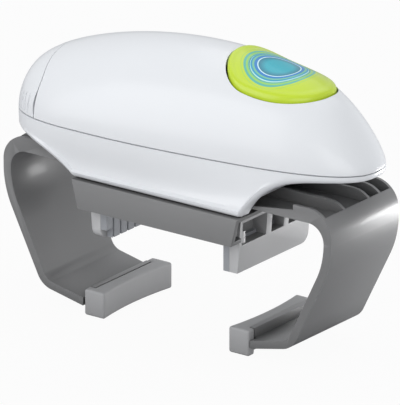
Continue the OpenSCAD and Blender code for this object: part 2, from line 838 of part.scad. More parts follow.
module chassis_top() {
  color("#55585c") difference() {
    union() {
      chassis_plate(chassis_top_z);
      for (s = [-1, 1]) {
        tube_z(frame_post_x, s * frame_post_y, chassis_top_z + 1, board_z - 0.02, board_post_r);
        tube_z(frame_post_x, s * frame_post_y, board_z - 1, board_z + board_t + 5, screw_r);
      }
    }
    tube_z(0, 0, 0, far, shaft_r + running);
    tube_z(motor_at[0], motor_at[1], 0, chassis_top_z + chassis_t, 3.8);
    for (at = [wheel_1, wheel_2]) tube_z(at[0], at[1], 0, chassis_top_z + chassis_t + 1, axle_r + 0.01);
    for (q = pillars) tube_z(q[0], q[1], 0, far, screw_r + 0.1);
  }
}

board_post_r = 2.4;

module chassis_screws() {
  color(steel) for (q = pillars) {
    tube_z(q[0], q[1], chassis_top_z - 6, chassis_top_z + chassis_t + 0.05, screw_r - 0.12);
    tube_z(q[0], q[1], chassis_top_z + chassis_t + 0.02, chassis_top_z + chassis_t + screw_head_h,
      screw_head_r);
  }
}

// ---- Base plate and lid clamp ----

base_edge = 2.1;
base_half_w = base_hole_y + base_edge;
base_end = 4;
clamp_h = skirt_z - slip;

// Floor of the body: bearing of the clamp and guides of the arms
module base_plate() {
  x = skirt_x - base_end;
  color(grey) difference() {
    union() {
      block(-x, x, -base_half_w, base_half_w, base_z, base_z + base_t);
      for (y = [-guide_y - guide_t, guide_y]) block(-x, x, y, y + guide_t, base_z, chassis_z - 0.02);
    }
    tube_z(0, 0, 0, far, journal_r + running);
    for (q = base_holes) tube_z(q[0], q[1], 0, far, screw_r + 0.1);
    for (q = base_holes) tube_z(q[0], q[1], 0, base_z + 0.8, base_head_r + 0.1);
  }
}

module base_screws() {
  color(steel) for (q = base_holes) {
    tube_z(q[0], q[1], base_z + 0.02, base_z + 0.78, base_head_r);
    tube_z(q[0], q[1], base_z + 0.1, base_z + base_boss_h - 1.5, screw_r - 0.12);
  }
}

module housing_screws() {
  color(steel) for (q = posts) {
    z = post_seat_z(q[0]);
    tube_z(q[0], q[1], z - screw_head_h, z - 0.02, screw_head_r);
    tube_z(q[0], q[1], z - 0.1, seam_z + post_up - 1, screw_r - 0.02);
  }
}

// Side view of the clamp housing, whose ends lean out from the lower to the upper edge
module clamp_side() {
  polygon([[-clamp_low_x, 0], [clamp_low_x, 0], [clamp_top_x, clamp_h], [-clamp_top_x, clamp_h]]);
}

slot_half_w = jaw_w / 2 + slip;

module clamp_housing() {
  inner = clamp_half_w - clamp_wall;
  color(grey) difference() {
    union() {
      along_y(-clamp_half_w, clamp_half_w) clamp_side();
      tube_z(0, 0, clamp_h - tiny, journal_top, journal_r);
    }
    block(-far, far, -inner, inner, clamp_plate, clamp_h - clamp_plate);
    block(seat_x, far, -slot_half_w, slot_half_w, -1, clamp_plate + 1);
    block(-far, -seat_x, -slot_half_w, slot_half_w, -1, clamp_plate + 1);
    tube_z(0, 0, clamp_plate + 1, far, shaft_r + running);
    translate([0, 0, ring_z]) difference() {
      cylinder(h = ring_t + 0.05, r = journal_r + 1, $fn = curve);
      translate([0, 0, -1]) cylinder(h = ring_t + 3, r = journal_r - ring_groove, $fn = curve);
    }
  }
}

jaw_top_z = clamp_h - clamp_plate - slip;
jaw_in_x = jaw_face_x + lid_pad_t;
jaw_out_x = jaw_in_x + jaw_t;
rack_z1 = clamp_plate + 1.6;
rack_z2 = window_z + window_h - slip;
windows = [[-24, -6.2], [-2.2, 6.8], [10.4, 22]];
jaw_corner = 4.5;
bar_w = 5;
bar_over = 8;
jaw_pitch_r = jaw_teeth * rack_m / 2;
arm_pitch_r = arm_teeth * rack_m / 2;
runner_z = clamp_plate + slip;
runner_h = 3;
runner_l = 12;
runner_y = clamp_half_w - clamp_wall - slip;

// Bar along X with teeth on its inner edge at "pitch_y" and its back at "back_y"
function rack_outline(x1, x2, pitch_y, back_y, m, teeth) = let (
    up = tooth_up * m,
    down = tooth_down * m,
    half = PI * m / 4 - backlash / 4,
    lean = tan(pressure),
    shift = PI * m * ((teeth / 4) % 1 == 0 ? 0.5 : 0),
    first = ceil((x1 + 1.4 * m - shift) / (PI * m)),
    last = floor((x2 - 1.4 * m - shift) / (PI * m))
  ) concat(
    [[x1, back_y], [x1, pitch_y + down]],
    [
      for (i = [first:last]) let (c = shift + i * PI * m)
        for (p = [
          [c - half - down * lean, pitch_y + down], [c - half + up * lean, pitch_y - up],
          [c + half - up * lean, pitch_y - up], [c + half + down * lean, pitch_y + down]
        ]) p
    ],
    [[x2, pitch_y + down], [x2, back_y]]
  );

hook_t = 2.4;
hook_y = windows[0][0] + 1.6;
jaw_back_t = 1.2;
shutter_l = 8;
shutter_t = 1;
pad_top_z = -1;

// Jaw with three pockets, a rack, a runner on each side and a shutter over the slot in the clamp's floor
module lid_jaw() {
  wall_h = jaw_top_z - jaw_z;
  color(pale_grey) union() {
    difference() {
      intersection() {
        along_y(-jaw_w / 2, jaw_w / 2) polygon([
          [jaw_in_x, jaw_z], [jaw_out_x, jaw_z], [jaw_out_x + jaw_lean, jaw_top_z], [jaw_in_x, jaw_top_z]
        ]);
        translate([0, 0, jaw_z]) rotate([90, 0, 90]) linear_extrude(far) polygon(concat(
          [[-jaw_w / 2, wall_h], [-jaw_w / 2, 0]],
          arc(jaw_w / 2 - jaw_corner, jaw_corner, jaw_corner, -90, 0, 12), [[jaw_w / 2, wall_h]]));
      }
      for (w = windows) block(0, far, w[0], w[1], window_z, window_z + window_h);
    }
    difference() {
      block(jaw_face_x, jaw_in_x + tiny, -jaw_w / 2, jaw_w / 2, pad_top_z + 0.02, jaw_top_z);
      for (w = windows) block(jaw_face_x + jaw_back_t, far, w[0], w[1], window_z, window_z + window_h);
      block(0, far, -jaw_pitch_r - bar_w - 2 * slip, -jaw_pitch_r + tooth_up * rack_m + slip,
        rack_z1 - slip, rack_z2 + slip);
    }
    block(jaw_face_x - shutter_l, jaw_face_x + tiny, -jaw_w / 2, jaw_w / 2, runner_z, runner_z + shutter_t);
    block(jaw_out_x - hook_t, jaw_out_x, hook_y, hook_y + hook_t, window_z - tiny, window_z + 5.5);
    translate([0, 0, rack_z1]) linear_extrude(rack_z2 - rack_z1) polygon(rack_outline(
      -jaw_open - bar_over, jaw_face_x + jaw_back_t / 2, jaw_pitch_r, jaw_pitch_r + bar_w, rack_m, jaw_teeth));
    for (s = [-1, 1]) scale([1, s, 1])
      block(jaw_in_x - runner_l, jaw_out_x, jaw_w / 2 - 3, runner_y, runner_z, runner_z + runner_h);
  }
}

lid_grooves = 9;
lid_groove = 0.8;

module lid_pad() {
  color("#9a9ca0") difference() {
    union() {
      block(jaw_face_x, jaw_in_x - 0.02, -jaw_w / 2, jaw_w / 2 - jaw_corner, jaw_z, pad_top_z);
      block(jaw_face_x, jaw_in_x - 0.02, 0, jaw_w / 2, jaw_z + jaw_corner, pad_top_z);
    }
    for (i = [1:lid_grooves]) let (y = -jaw_w / 2 + jaw_w * i / (lid_grooves + 1))
      block(jaw_face_x - 1, jaw_face_x + lid_groove, y - 0.5, y + 0.5, jaw_z - 1, 0);
  }
}

module jaw_pinion() {
  color("#e8e3d2") difference() {
    gear(jaw_teeth, rack_m, clamp_plate + slip, rack_z2, 0);
    tube_z(0, 0, -1, far, shaft_r + 0.02);
  }
}

module centre_shaft() {
  color(steel) tube_z(0, 0, clamp_plate + 0.4, chassis_top_z + chassis_t + 1.5, shaft_r);
}

module arm_pinion() {
  color("#e8e3d2") difference() {
    gear(arm_teeth, rack_m, base_z + base_t + slip, chassis_z - slip, 0);
    tube_z(0, 0, 0, far, journal_r + running);
  }
}

// ---- Arms ----

arm_top_z = arm_z + arm_deep;
shoulder_x = arm_reach - shoulder_r;
curve_x = arm_reach - band_curve_r;
run_x = curve_x + band_curve_r * cos(band_lean);
run_z = band_curve_z - band_curve_r * sin(band_lean);
run_l = (run_z + foot_r * sin(band_lean) - foot_bend_z) / cos(band_lean);
foot_x = run_x - run_l * sin(band_lean) - foot_r * cos(band_lean);
foot_end_x = pad_x + pad_t + 2.2;
foot_end_z = foot_bend_z - foot_r * cos(foot_slope)
  - (foot_x - foot_r * sin(-foot_slope) - foot_end_x) * tan(foot_slope);

// Side view of an arm: top plate, shoulder, curved band and foot
module band_profile() {
  polygon(concat(
    [[arm_inner_x, arm_z], [arm_inner_x, arm_top_z]],
    arc(shoulder_x, arm_top_z - shoulder_r, shoulder_r, 90, 0, 24),
    arc(curve_x, band_curve_z, band_curve_r, 0, -band_lean, 16),
    arc(foot_x, foot_bend_z, foot_r, -band_lean, -90 + foot_slope, 16),
    [[foot_end_x, foot_end_z], [foot_end_x, foot_end_z + foot_t]],
    arc(foot_x, foot_bend_z, foot_r - foot_t, -90 + foot_slope, -band_lean, 12),
    arc(curve_x, band_curve_z, band_curve_r - band_t, -band_lean, 0, 16),
    arc(arm_reach - band_t - inner_r, arm_z - inner_r, inner_r, 0, 90, 16)
  ));
}

channel = [arm_pitch_r - tooth_up * rack_m - slip, arm_pitch_r + bar_w + slip + 0.2];
pocket_end_x = arm_reach - 4;
rim_low_z = arm_z + tray_t;
arm_bar_z = arm_z + tray_t + slip;
pockets = [
  [-arm_w / 2 + rib_t, -channel[0] - rib_t], [-channel[0], channel[0] - rib_t],
  channel, [channel[1] + rib_t, arm_w / 2 - rib_t]
];

rim_run = 18;

// Wedge that drops the tray's side rims inboard of the shoulder
module rim_wedge() {
  polygon([
    [0, rim_low_z], [arm_inner_x + rim_run, rim_low_z + 0.1], [step_x, arm_top_z - step_down],
    [step_x, far], [0, far]
  ]);
}

module arm() {
  color(grey) union() {
    difference() {
      along_y(-arm_w / 2, arm_w / 2) band_profile();
      for (w = pockets) block(-far, pocket_end_x, w[0], w[1], arm_z + tray_t, far);
      for (s = [-1, 1]) scale([1, s, 1]) along_y(arm_w / 2 - rib_t - 0.1, arm_w) rim_wedge();
      block(0, foot_end_x + 3.5, arm_w / 2 - ear_t - 0.3, arm_w, -far, 0);
      block(0, foot_end_x + 3.5, -arm_w, -arm_w / 2 + ear_t + 0.3, -far, 0);
    }
    translate([0, 0, arm_bar_z]) linear_extrude(chassis_z - slip - arm_bar_z) scale([1, -1])
      polygon(rack_outline(
        -arm_open - bar_over, arm_inner_x + 12, arm_pitch_r, arm_pitch_r + bar_w, rack_m, arm_teeth));
    block(arm_inner_x, arm_inner_x + 12, -arm_pitch_r - bar_w, -arm_pitch_r - 1, arm_z + 1, arm_bar_z + 1);
    block(foot_end_x, foot_end_x + flange_t, -arm_w / 2 + ear_t + 0.3, arm_w / 2 - ear_t - 0.3,
      foot_end_z + 0.4, pad_z + pad_h);
  }
}

flange_t = 2.5;

// Rubber pad with a hollow face and an ear round each end of the foot
module arm_pad() {
  ear_end = pad_x + ear_x;
  sagitta = pad_face_r - sqrt(pad_face_r * pad_face_r - arm_w * arm_w / 4);
  color(pale_grey) translate([0, 0, pad_z]) linear_extrude(pad_h) difference() {
    union() {
      translate([pad_x, -arm_w / 2]) square([foot_end_x - 0.02 - pad_x, arm_w]);
      for (y = [-arm_w / 2, arm_w / 2 - ear_t]) translate([pad_x, y]) square([ear_x, ear_t]);
    }
    translate([pad_x + sagitta - pad_face_r, 0]) circle(pad_face_r, $fn = 360);
  }
}

module arm_right() { arm(); }
module arm_left() { turned() arm(); }
module arm_pad_right() { arm_pad(); }
module arm_pad_left() { turned() arm_pad(); }
module lid_jaw_right() { lid_jaw(); }
module lid_jaw_left() { turned() lid_jaw(); }
module lid_pad_right() { lid_pad(); }
module lid_pad_left() { turned() lid_pad(); }

// ---- Batteries ----

cell_gap = 1.2;
cell_y = cell_r + cell_gap / 2;
tray_end_x = -24.5;
spring_room = 3;
cell_x2 = tray_end_x - spring_room;
cell_x1 = cell_x2 - cell_l;
cell_nub_r = 2.7;
cell_nub = 1.3;
tray_floor_z = cell_z - cell_r - 2;
tray_x1 = -64;
tray_x2 = -20;
tray_half_w = 2 * cell_r + cell_gap + 0.8;
tray_leg_x = -52;
tray_leg_y = 13;

module lie_x(x1, x2, y, r) {
  translate([x1, y, cell_z]) rotate([0, 90, 0]) cylinder(h = x2 - x1, r = r, $fn = curve);
}

module battery_cells() {
  color("#3b6ea8") for (s = [-1, 1]) union() {
    lie_x(cell_x1, cell_x2, s * cell_y, cell_r);
    lie_x(s > 0 ? cell_x2 - tiny : cell_x1 - cell_nub, s > 0 ? cell_x2 + cell_nub : cell_x1 + tiny,
      s * cell_y, cell_nub_r);
  }
}

module battery_tray() {
  color("#3a3c3f") difference() {
    union() {
      block(tray_x1, chassis_x1 - 0.2, -tray_half_w, tray_half_w, tray_floor_z, cell_z);
      block(tray_end_x, tray_x2, -tray_half_w, tray_half_w, motor_z + 0.02, cell_z + 4);
      for (s = [-1, 1]) tube_z(tray_leg_x, s * tray_leg_y, slot_top_z + 2.6, tray_floor_z + tiny, 2.6);
    }
    for (s = [-1, 1]) {
      lie_x(tray_x1 - 1, tray_end_x, s * cell_y, cell_r + 0.25);
      block(tray_x1 - 1, tray_end_x, s * cell_y - cell_r - 0.25, s * cell_y + cell_r + 0.25, cell_z, far);
    }
  }
}

plate_t = 0.5;
plate_h = 9;
plate_half_w = 4.5;
plate_over = 5;
tab_y = 5;
end_gap = 1.1;

// Contact plates: one on the tray's end wall, one across the battery cover
module contact_plates() {
  color("#c9b37a") for (s = [-1, 1])
    block(tray_end_x - plate_t - 0.02, tray_end_x - 0.02, s * cell_y - plate_half_w,
      s * cell_y + plate_half_w, cell_z - 4, cell_z + 4);
}

module cover_contact() {
  x = cell_x1 - cell_nub - end_gap;
  color("#c9b37a") union() {
    block(x - plate_t, x, -cell_y - plate_over, cell_y + plate_over, cell_z - plate_h / 2, cell_z + plate_h / 2);
    for (s = [-1, 1])
      block(-body_back + shell_wall + 0.25, x - plate_t + tiny, s * tab_y - 1, s * tab_y + 1, cell_z - 2, cell_z + 2);
  }
}

contact_turns = 3;
contact_r = 2.6;
contact_wire = 0.35;
contact_steps = 10;

// Contact spring between the tray's end wall and a cell's flat end
module contact_springs() {
  x1 = cell_x2 + contact_wire + 0.05;
  x2 = tray_end_x - plate_t - contact_wire - 0.05;
  total = contact_turns * contact_steps;
  color(steel) translate([0, -cell_y, cell_z]) skin([
    for (i = [0:total]) let (a = 360 * i / contact_steps, out = [0, cos(a), sin(a)])
      [for (b = [0:72:288]) [x1 + (x2 - x1) * i / total, 0, 0]
        + out * (contact_r + contact_wire * cos(b)) - [contact_wire * sin(b), 0, 0]]
  ]);
}

upper_cover();
lower_housing();
battery_cover();
cover_latch();
cover_contact();
start_button();
button_lens();
button_frame();
button_spring();
micro_switch();
circuit_board();
motor();
motor_shaft();
motor_pinion();
chassis_base();
chassis_top();
gear_axles();
compound_gear_1();
compound_gear_2();
output_gear();
retaining_ring();
centre_shaft();
jaw_pinion();
arm_pinion();
base_plate();
clamp_housing();
lid_jaw_right();
lid_jaw_left();
lid_pad_right();
lid_pad_left();
arm_right();
arm_left();
arm_pad_right();
arm_pad_left();
battery_tray();
battery_cells();
contact_springs();
contact_plates();
housing_screws();
chassis_screws();
base_screws();
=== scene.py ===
"""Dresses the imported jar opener: smooth shells, eased edges, finishes, light and camera.

Origin on the turning axis at the face that rests on the lid, +X to the nose, +Z up.
Lengths in the shape functions are millimetres, and the mesh helpers turn them into metres.
"""

import math

import bmesh
import bpy
from bpy.props import FloatProperty, FloatVectorProperty, IntProperty, PointerProperty
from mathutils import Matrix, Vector


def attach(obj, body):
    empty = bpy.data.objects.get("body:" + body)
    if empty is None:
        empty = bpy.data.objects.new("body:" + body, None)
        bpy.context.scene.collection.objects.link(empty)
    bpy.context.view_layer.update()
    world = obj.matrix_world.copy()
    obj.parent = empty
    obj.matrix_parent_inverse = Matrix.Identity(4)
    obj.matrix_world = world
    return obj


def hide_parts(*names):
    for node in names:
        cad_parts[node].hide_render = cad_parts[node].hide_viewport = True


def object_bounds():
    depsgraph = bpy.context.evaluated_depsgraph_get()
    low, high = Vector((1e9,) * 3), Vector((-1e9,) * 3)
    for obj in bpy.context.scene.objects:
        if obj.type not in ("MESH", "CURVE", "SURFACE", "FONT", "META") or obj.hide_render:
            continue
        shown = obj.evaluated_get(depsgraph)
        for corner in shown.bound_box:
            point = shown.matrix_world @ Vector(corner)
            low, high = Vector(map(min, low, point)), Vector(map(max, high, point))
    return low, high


bl_info = {
    "name": "Jar opener looks",
    "version": (1, 0, 0),
    "blender": (4, 5, 0),
    "location": "View3D > Sidebar > Jar opener",
    "description": "Builds the shells, button, edges and finishes of a battery jar opener",
    "category": "Object",
}

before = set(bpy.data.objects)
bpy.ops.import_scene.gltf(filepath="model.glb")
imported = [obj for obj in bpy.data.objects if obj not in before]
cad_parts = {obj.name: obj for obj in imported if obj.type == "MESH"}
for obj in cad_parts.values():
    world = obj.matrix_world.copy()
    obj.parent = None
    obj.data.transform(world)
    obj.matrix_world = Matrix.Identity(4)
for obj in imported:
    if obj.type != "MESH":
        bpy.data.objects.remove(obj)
CAD_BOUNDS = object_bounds()
MM = 0.001

# Between two faces: shaded as one below the first, rounded over the second, merged below the third
SMOOTH_LIMIT = math.radians(32)
EASE_LIMIT = math.radians(40)
FLAT_LIMIT = math.radians(0.6)

# Millimetres: points closer than these are one, in a finished mesh and in a CAD one
SAME_POINT = 0.002
SAME_CAD_POINT = 0.005

# Millimetres: past the body on every side, past its flanks, and the height of the camera's sensor
FAR = 200
PAST_FLANK = 80
SENSOR = 36


# ---- Values a user would change ----


class ShellShape(bpy.types.PropertyGroup):
    back: FloatProperty(name="Back", description="Turning axis to the battery end, mm", default=85)
    nose: FloatProperty(name="Nose", description="Turning axis to the nose, mm", default=95)
    half_width: FloatProperty(name="Half width", description="At the widest station, mm", default=36)
    widest: FloatProperty(name="Widest station", description="Along X, mm", default=-35)
    taper: FloatProperty(name="Taper", description="Narrowing of each flank to the nose, mm", default=2.75)
    back_square: FloatProperty(name="Back squareness", description="Of the plan", default=3.3)
    nose_square: FloatProperty(name="Nose squareness", description="Of the plan", default=2.45)
    seam: FloatProperty(name="Seam height", description="Between the shells, mm", default=36.5)
    crown: FloatProperty(name="Crown height", description="Over the seam, mm", default=41)
    crown_at: FloatProperty(name="Crown station", description="Along X, mm", default=30)
    back_fall: FloatProperty(name="Fall to the back", description="In 100 mm, mm", default=15.5)
    nose_fall: FloatProperty(name="Fall to the nose", description="In 50 mm, mm", default=12.9)
    cross_square: FloatProperty(name="Cross squareness", description="Of the section", default=2.05)
    back_side: FloatProperty(name="Back side squareness", description="Of the side view", default=7.4)
    nose_side: FloatProperty(name="Nose side squareness", description="Of the side view", default=3.5)
    wall: FloatProperty(name="Wall", description="Of the shells, mm", default=2.2)
    gap: FloatProperty(name="Part line", description="Open line between the shells, mm", default=0.4)
    skirt: FloatProperty(name="Skirt height", description="Lower edge of the skirt, mm", default=13.5)
    skirt_end: FloatProperty(name="Skirt end", description="Turning axis to each end, mm", default=44.6)
    skirt_half: FloatProperty(name="Skirt half width", description="At its lower edge, mm", default=34.2)
    edge_round: FloatProperty(name="Arch rounding", description="Of the lower shell's edge, mm", default=4.2)
    waist: FloatProperty(name="Waist", description="Hollow of the wall under the seam, mm", default=1.8)
    nose_arch: FloatProperty(name="Nose arch", description="Rise over the skirt, mm", default=20)
    nose_arch_run: FloatProperty(name="Nose arch run", description="mm", default=10.5)
    back_arch: FloatProperty(name="Back arch", description="Rise over the skirt, mm", default=15.5)
    back_arch_run: FloatProperty(name="Back arch run", description="mm", default=17)
    skirt_hole: FloatProperty(name="Skirt opening", description="Half width of the opening, mm", default=31.6)
    slot_half: FloatProperty(name="Arm slot half width", description="Along Y, mm", default=25.8)
    slot_top: FloatProperty(name="Arm slot height", description="Of its roof, mm", default=23.2)


class CoverShape(bpy.types.PropertyGroup):
    at: FloatProperty(name="Part line", description="Along X at its foot, mm", default=-65)
    foot: FloatProperty(name="Foot", description="Upright part over the seam, mm", default=16)
    lean: FloatProperty(name="Lean", description="Of the line to the back, mm", default=6)
    open_line: FloatProperty(name="Open line", description="Added to the part line, mm", default=0.12)
    notch: FloatProperty(name="Finger notch", description="Its depth, mm", default=0.8)
    grips: IntProperty(name="Grooves", description="On each side", default=4)
    grip_at: FloatProperty(name="First groove", description="Along X, mm", default=-69.5)
    grip_pitch: FloatProperty(name="Groove pitch", description="mm", default=2.6)
    grip_radius: FloatProperty(name="Groove radius", description="mm", default=0.55)
    grip_low: FloatProperty(name="Grooves' foot", description="Over the seam, mm", default=1.4)
    grip_high: FloatProperty(name="Grooves' top", description="Over the seam, mm", default=9.6)


class ButtonShape(bpy.types.PropertyGroup):
    at: FloatProperty(name="Widest station", description="Along X, mm", default=37.5)
    nose: FloatProperty(name="Pointed end", description="From the widest station, mm", default=31.8)
    tail: FloatProperty(name="Round end", description="From the widest station, mm", default=17)
    half: FloatProperty(name="Half width", description="mm", default=19.4)
    square: FloatProperty(name="Squareness", description="Of the outline", default=2.2)
    dish: FloatProperty(name="Hollow", description="Depth of the hollow, mm", default=2.5)
    dish_radius: FloatProperty(name="Hollow radius", description="mm", default=17)
    rise: FloatProperty(name="Rise", description="Over the crown, mm", default=1.2)
    deep: FloatProperty(name="Depth", description="Of the moulded body, mm", default=4.5)
    sink: FloatProperty(name="Sink", description="Of the face inside the rim, mm", default=0.7)
    lens_at: FloatProperty(name="Lens", description="Centre along X, mm", default=42.5)
    lens_radius: FloatProperty(name="Lens radius", description="mm", default=13)
    lens_deep: FloatProperty(name="Lens seat", description="Under the face, mm", default=2)
    boss_radius: FloatProperty(name="Boss radius", description="Over the spring, mm", default=7.8)
    gap: FloatProperty(name="Open line", description="Round the button, mm", default=0.8)


def tone(name, description, value):
    return FloatVectorProperty(name=name, description=description, subtype="COLOR", size=3, default=value)


class Finishes(bpy.types.PropertyGroup):
    white: tone("Shell", "Colour of the shells", (0.75, 0.765, 0.785))
    lime: tone("Button", "Colour of the button", (0.52, 0.68, 0.02))
    lens: tone("Lens", "Tint over the lens's rings", (1.0, 1.0, 1.0))
    arm: tone("Arms", "Colour of the arms", (0.165, 0.165, 0.166))
    clamp: tone("Clamp", "Colour of the clamp housing", (0.175, 0.175, 0.176))
    jaw: tone("Jaws", "Colour of the lid jaws", (0.45, 0.45, 0.455))
    pad: tone("Pads", "Colour of the jar pads", (0.36, 0.36, 0.365))
    grip: tone("Lid pads", "Colour of the lid pads", (0.30, 0.31, 0.33))


class StageValues(bpy.types.PropertyGroup):
    azimuth: FloatProperty(name="Azimuth", description="Of the camera, degrees", default=36.4)
    elevation: FloatProperty(name="Elevation", description="Of the camera, degrees", default=20)
    distance: FloatProperty(name="Distance", description="Camera to the axis", unit="LENGTH", default=6.5)
    tall: FloatProperty(name="Picture height", description="At the axis", unit="LENGTH", default=0.1761)
    aim: FloatVectorProperty(
        name="Aim", description="From the origin", size=3, default=(-0.0002, 0.0001, 0.0018)
    )
    reach: FloatProperty(name="Floor", description="Origin to each side", unit="LENGTH", default=3)
    paper: tone("Floor colour", "Of the pale floor", (0.45, 0.45, 0.455))
    glow: FloatProperty(name="Backdrop", description="Share of plain white in view", default=0.95)
    sky: FloatProperty(name="Room light", description="Strength", default=0.70)


def shell():
    return bpy.context.scene.opener_shell


def cover():
    return bpy.context.scene.opener_cover


def button():
    return bpy.context.scene.opener_button


def finishes():
    return bpy.context.scene.opener_finishes


# ---- Curves of the body ----


def ease(a, b, x):
    """0 before a, 1 after b and a smooth climb between them."""
    t = max(0.0, min(1.0, (x - a) / (b - a)))
    return t * t * (3 - 2 * t)


def rounded(u, n):
    """Height of a superellipse of power n at share u of its run."""
    return max(0.0, 1 - min(u, 1.0) ** n) ** (1 / n)


def flank(s, x):
    """Half-width at station x, before the ends are rounded."""
    return s.half_width - s.taper * ease(s.widest, s.widest + 80, x)


def along(s, x):
    """Share of the way from the widest station to the end of the body."""
    if x < s.widest:
        return (s.widest - x) / (s.widest + s.back)
    return (x - s.widest) / (s.nose - s.widest)


def crown_z(s, x, y):
    """Height of the outer skin over a point of the plan."""
    u = along(s, x)
    front = x >= s.widest
    half = flank(s, x) * rounded(u, s.nose_square if front else s.back_square)
    if x < s.crown_at:
        ridge = s.crown - s.back_fall * ((s.crown_at - x) / 100) ** 2.4
    else:
        ridge = s.crown - s.nose_fall * ((x - s.crown_at) / 50) ** 3.5
    high = ridge * rounded(u, s.nose_side if front else s.back_side)
    return s.seam + high * rounded(abs(y) / max(half, 0.01), s.cross_square)


def plan_point(s, angle, inset=0.0):
    """Point of the body's outline seen from above."""
    c, d = math.cos(angle), math.sin(angle)
    n = s.back_square if c < 0 else s.nose_square
    run = (s.widest + s.back if c < 0 else s.nose - s.widest) - inset
    x = s.widest + run * math.copysign(abs(c) ** (2 / n), c)
    y = (flank(s, x) - inset) * math.copysign(abs(d) ** (2 / n), d)
    return x, y


def belly_z(s, x):
    """Height of the lower shell's edge, which arches up at both ends."""
    if x > 0:
        return s.skirt + s.nose_arch * (1 - math.exp(-max(0, x - s.skirt_end) / s.nose_arch_run))
    return s.skirt + s.back_arch * (1 - math.exp(-max(0, -x - s.skirt_end) / s.back_arch_run))


def wall_point(s, angle, z, inset=0.0):
    """Point of the wall under the seam."""
    t = min(1.0, max(0.0, (s.seam - z) / (s.seam - s.skirt)))
    x, y = plan_point(s, angle, inset)
    spread = t**1.6 * (1 - ease(s.skirt_end, s.skirt_end + 30, abs(x)))
    out = abs(y) + spread * (s.skirt_half - inset - abs(y))
    if inset == 0 and t < 1:
        out -= min(s.waist, abs(y) * 0.1) * math.sin(math.pi * t**1.9) ** 1.2
    return x, math.copysign(out, y)


def teardrop(b, grow=0.0, steps=160):
    """Outline of the button, grown all round."""
    out = []
    for i in range(steps):
        t = 2 * math.pi * (i + 0.5) / steps
        c, d = math.cos(t), math.sin(t)
        run = grow + (b.nose if c > 0 else b.tail)
        x = b.at + run * math.copysign(abs(c) ** (2 / b.square), c)
        out.append((x, (b.half + grow) * math.copysign(abs(d) ** (2 / b.square), d)))
    return out


def press_z(s, b, x, y):
    """Height of the button's top over a point of the plan."""
    reach = ((x - b.lens_at) ** 2 + y**2) / b.dish_radius**2
    return crown_z(s, x, y) + b.rise - b.dish * max(0.0, 1 - reach)


# ---- Mesh helpers ----


def mesh_object(name, points, faces, body=None):
    """A new object from points in millimetres."""
    mesh = bpy.data.meshes.new(name)
    mesh.from_pydata([[c * MM for c in p] for p in points], [], faces)
    mesh.update()
    obj = bpy.data.objects.new(name, mesh)
    bpy.context.scene.collection.objects.link(obj)
    if body:
        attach(obj, body)
    return obj


def side_faces(count, m):
    """Faces between rings of m points, as numbers of the points."""
    faces = []
    for i in range(count - 1):
        for j in range(m):
            k = (j + 1) % m
            faces.append([i * m + j, i * m + k, (i + 1) * m + k, (i + 1) * m + j])
    return faces


def skin(name, rings, body=None):
    """A closed skin through rings of points, from the bottom to the top."""
    m = len(rings[0])
    points = [p for ring in rings for p in ring]
    faces = [list(range(m))[::-1], [(len(rings) - 1) * m + j for j in range(m)]]
    return mesh_object(name, points, faces + side_faces(len(rings), m), body)


def prism(name, outline, z1, z2):
    return skin(name, [[(x, y, z) for x, y in outline] for z in (z1, z2)])


def prism_y(name, outline, y1, y2):
    """A side profile of (x, z) points that runs along Y."""
    return skin(name, [[(x, y, z) for x, z in outline] for y in (y1, y2)])


def box(name, x1, x2, y1, y2, z1, z2):
    return prism(name, [(x1, y1), (x2, y1), (x2, y2), (x1, y2)], z1, z2)


def face_outwards(obj):
    mesh = bmesh.new()
    mesh.from_mesh(obj.data)
    bmesh.ops.recalc_face_normals(mesh, faces=mesh.faces)
    mesh.to_mesh(obj.data)
    mesh.free()


def settle(obj):
    """Works the object's modifiers into its mesh."""
    graph = bpy.context.evaluated_depsgraph_get()
    mesh = bpy.data.meshes.new_from_object(obj.evaluated_get(graph))
    old = obj.data
    obj.modifiers.clear()
    obj.data = mesh
    bpy.data.meshes.remove(old)


def combine(obj, other, how="DIFFERENCE"):
    """Cuts the other solid from the object, or keeps what both share, and removes the other."""
    face_outwards(obj)
    face_outwards(other)
    step = obj.modifiers.new(how, "BOOLEAN")
    step.operation = how
    step.solver = "EXACT"
    step.object = other
    bpy.context.view_layer.update()
    settle(obj)
    bpy.data.objects.remove(other)
    if not obj.data.polygons:
        raise RuntimeError(f"{obj.name} came out empty")


def smooth(obj):
    """Smooth shading with sharp edges where two faces meet at more than the limit."""
    mesh = bmesh.new()
    mesh.from_mesh(obj.data)
    bmesh.ops.remove_doubles(mesh, verts=mesh.verts, dist=SAME_POINT * MM)
    for f in mesh.faces:
        f.smooth = True
    for e in mesh.edges:
        e.smooth = len(e.link_faces) == 2 and e.calc_face_angle(0) < SMOOTH_LIMIT
    mesh.to_mesh(obj.data)
    mesh.free()


def eased_copy(node, body, width, segments):
    """A copy of a CAD piece with its edges rounded, which stands for it."""
    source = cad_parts[node]
    obj = bpy.data.objects.new(node + "_eased", source.data.copy())
    bpy.context.scene.collection.objects.link(obj)
    mesh = bmesh.new()
    mesh.from_mesh(obj.data)
    bmesh.ops.remove_doubles(mesh, verts=mesh.verts, dist=SAME_CAD_POINT * MM)
    bmesh.ops.dissolve_limit(mesh, angle_limit=FLAT_LIMIT, verts=mesh.verts, edges=mesh.edges)
    mesh.to_mesh(obj.data)
    mesh.free()
    step = obj.modifiers.new("Eased", "BEVEL")
    step.width = width * MM
    step.segments = segments
    step.limit_method = "ANGLE"
    step.angle_limit = EASE_LIMIT
    step.use_clamp_overlap = True
    bpy.context.view_layer.update()
    settle(obj)
    smooth(obj)
    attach(obj, body)
    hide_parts(node)
    return obj


# ---- Finishes ----


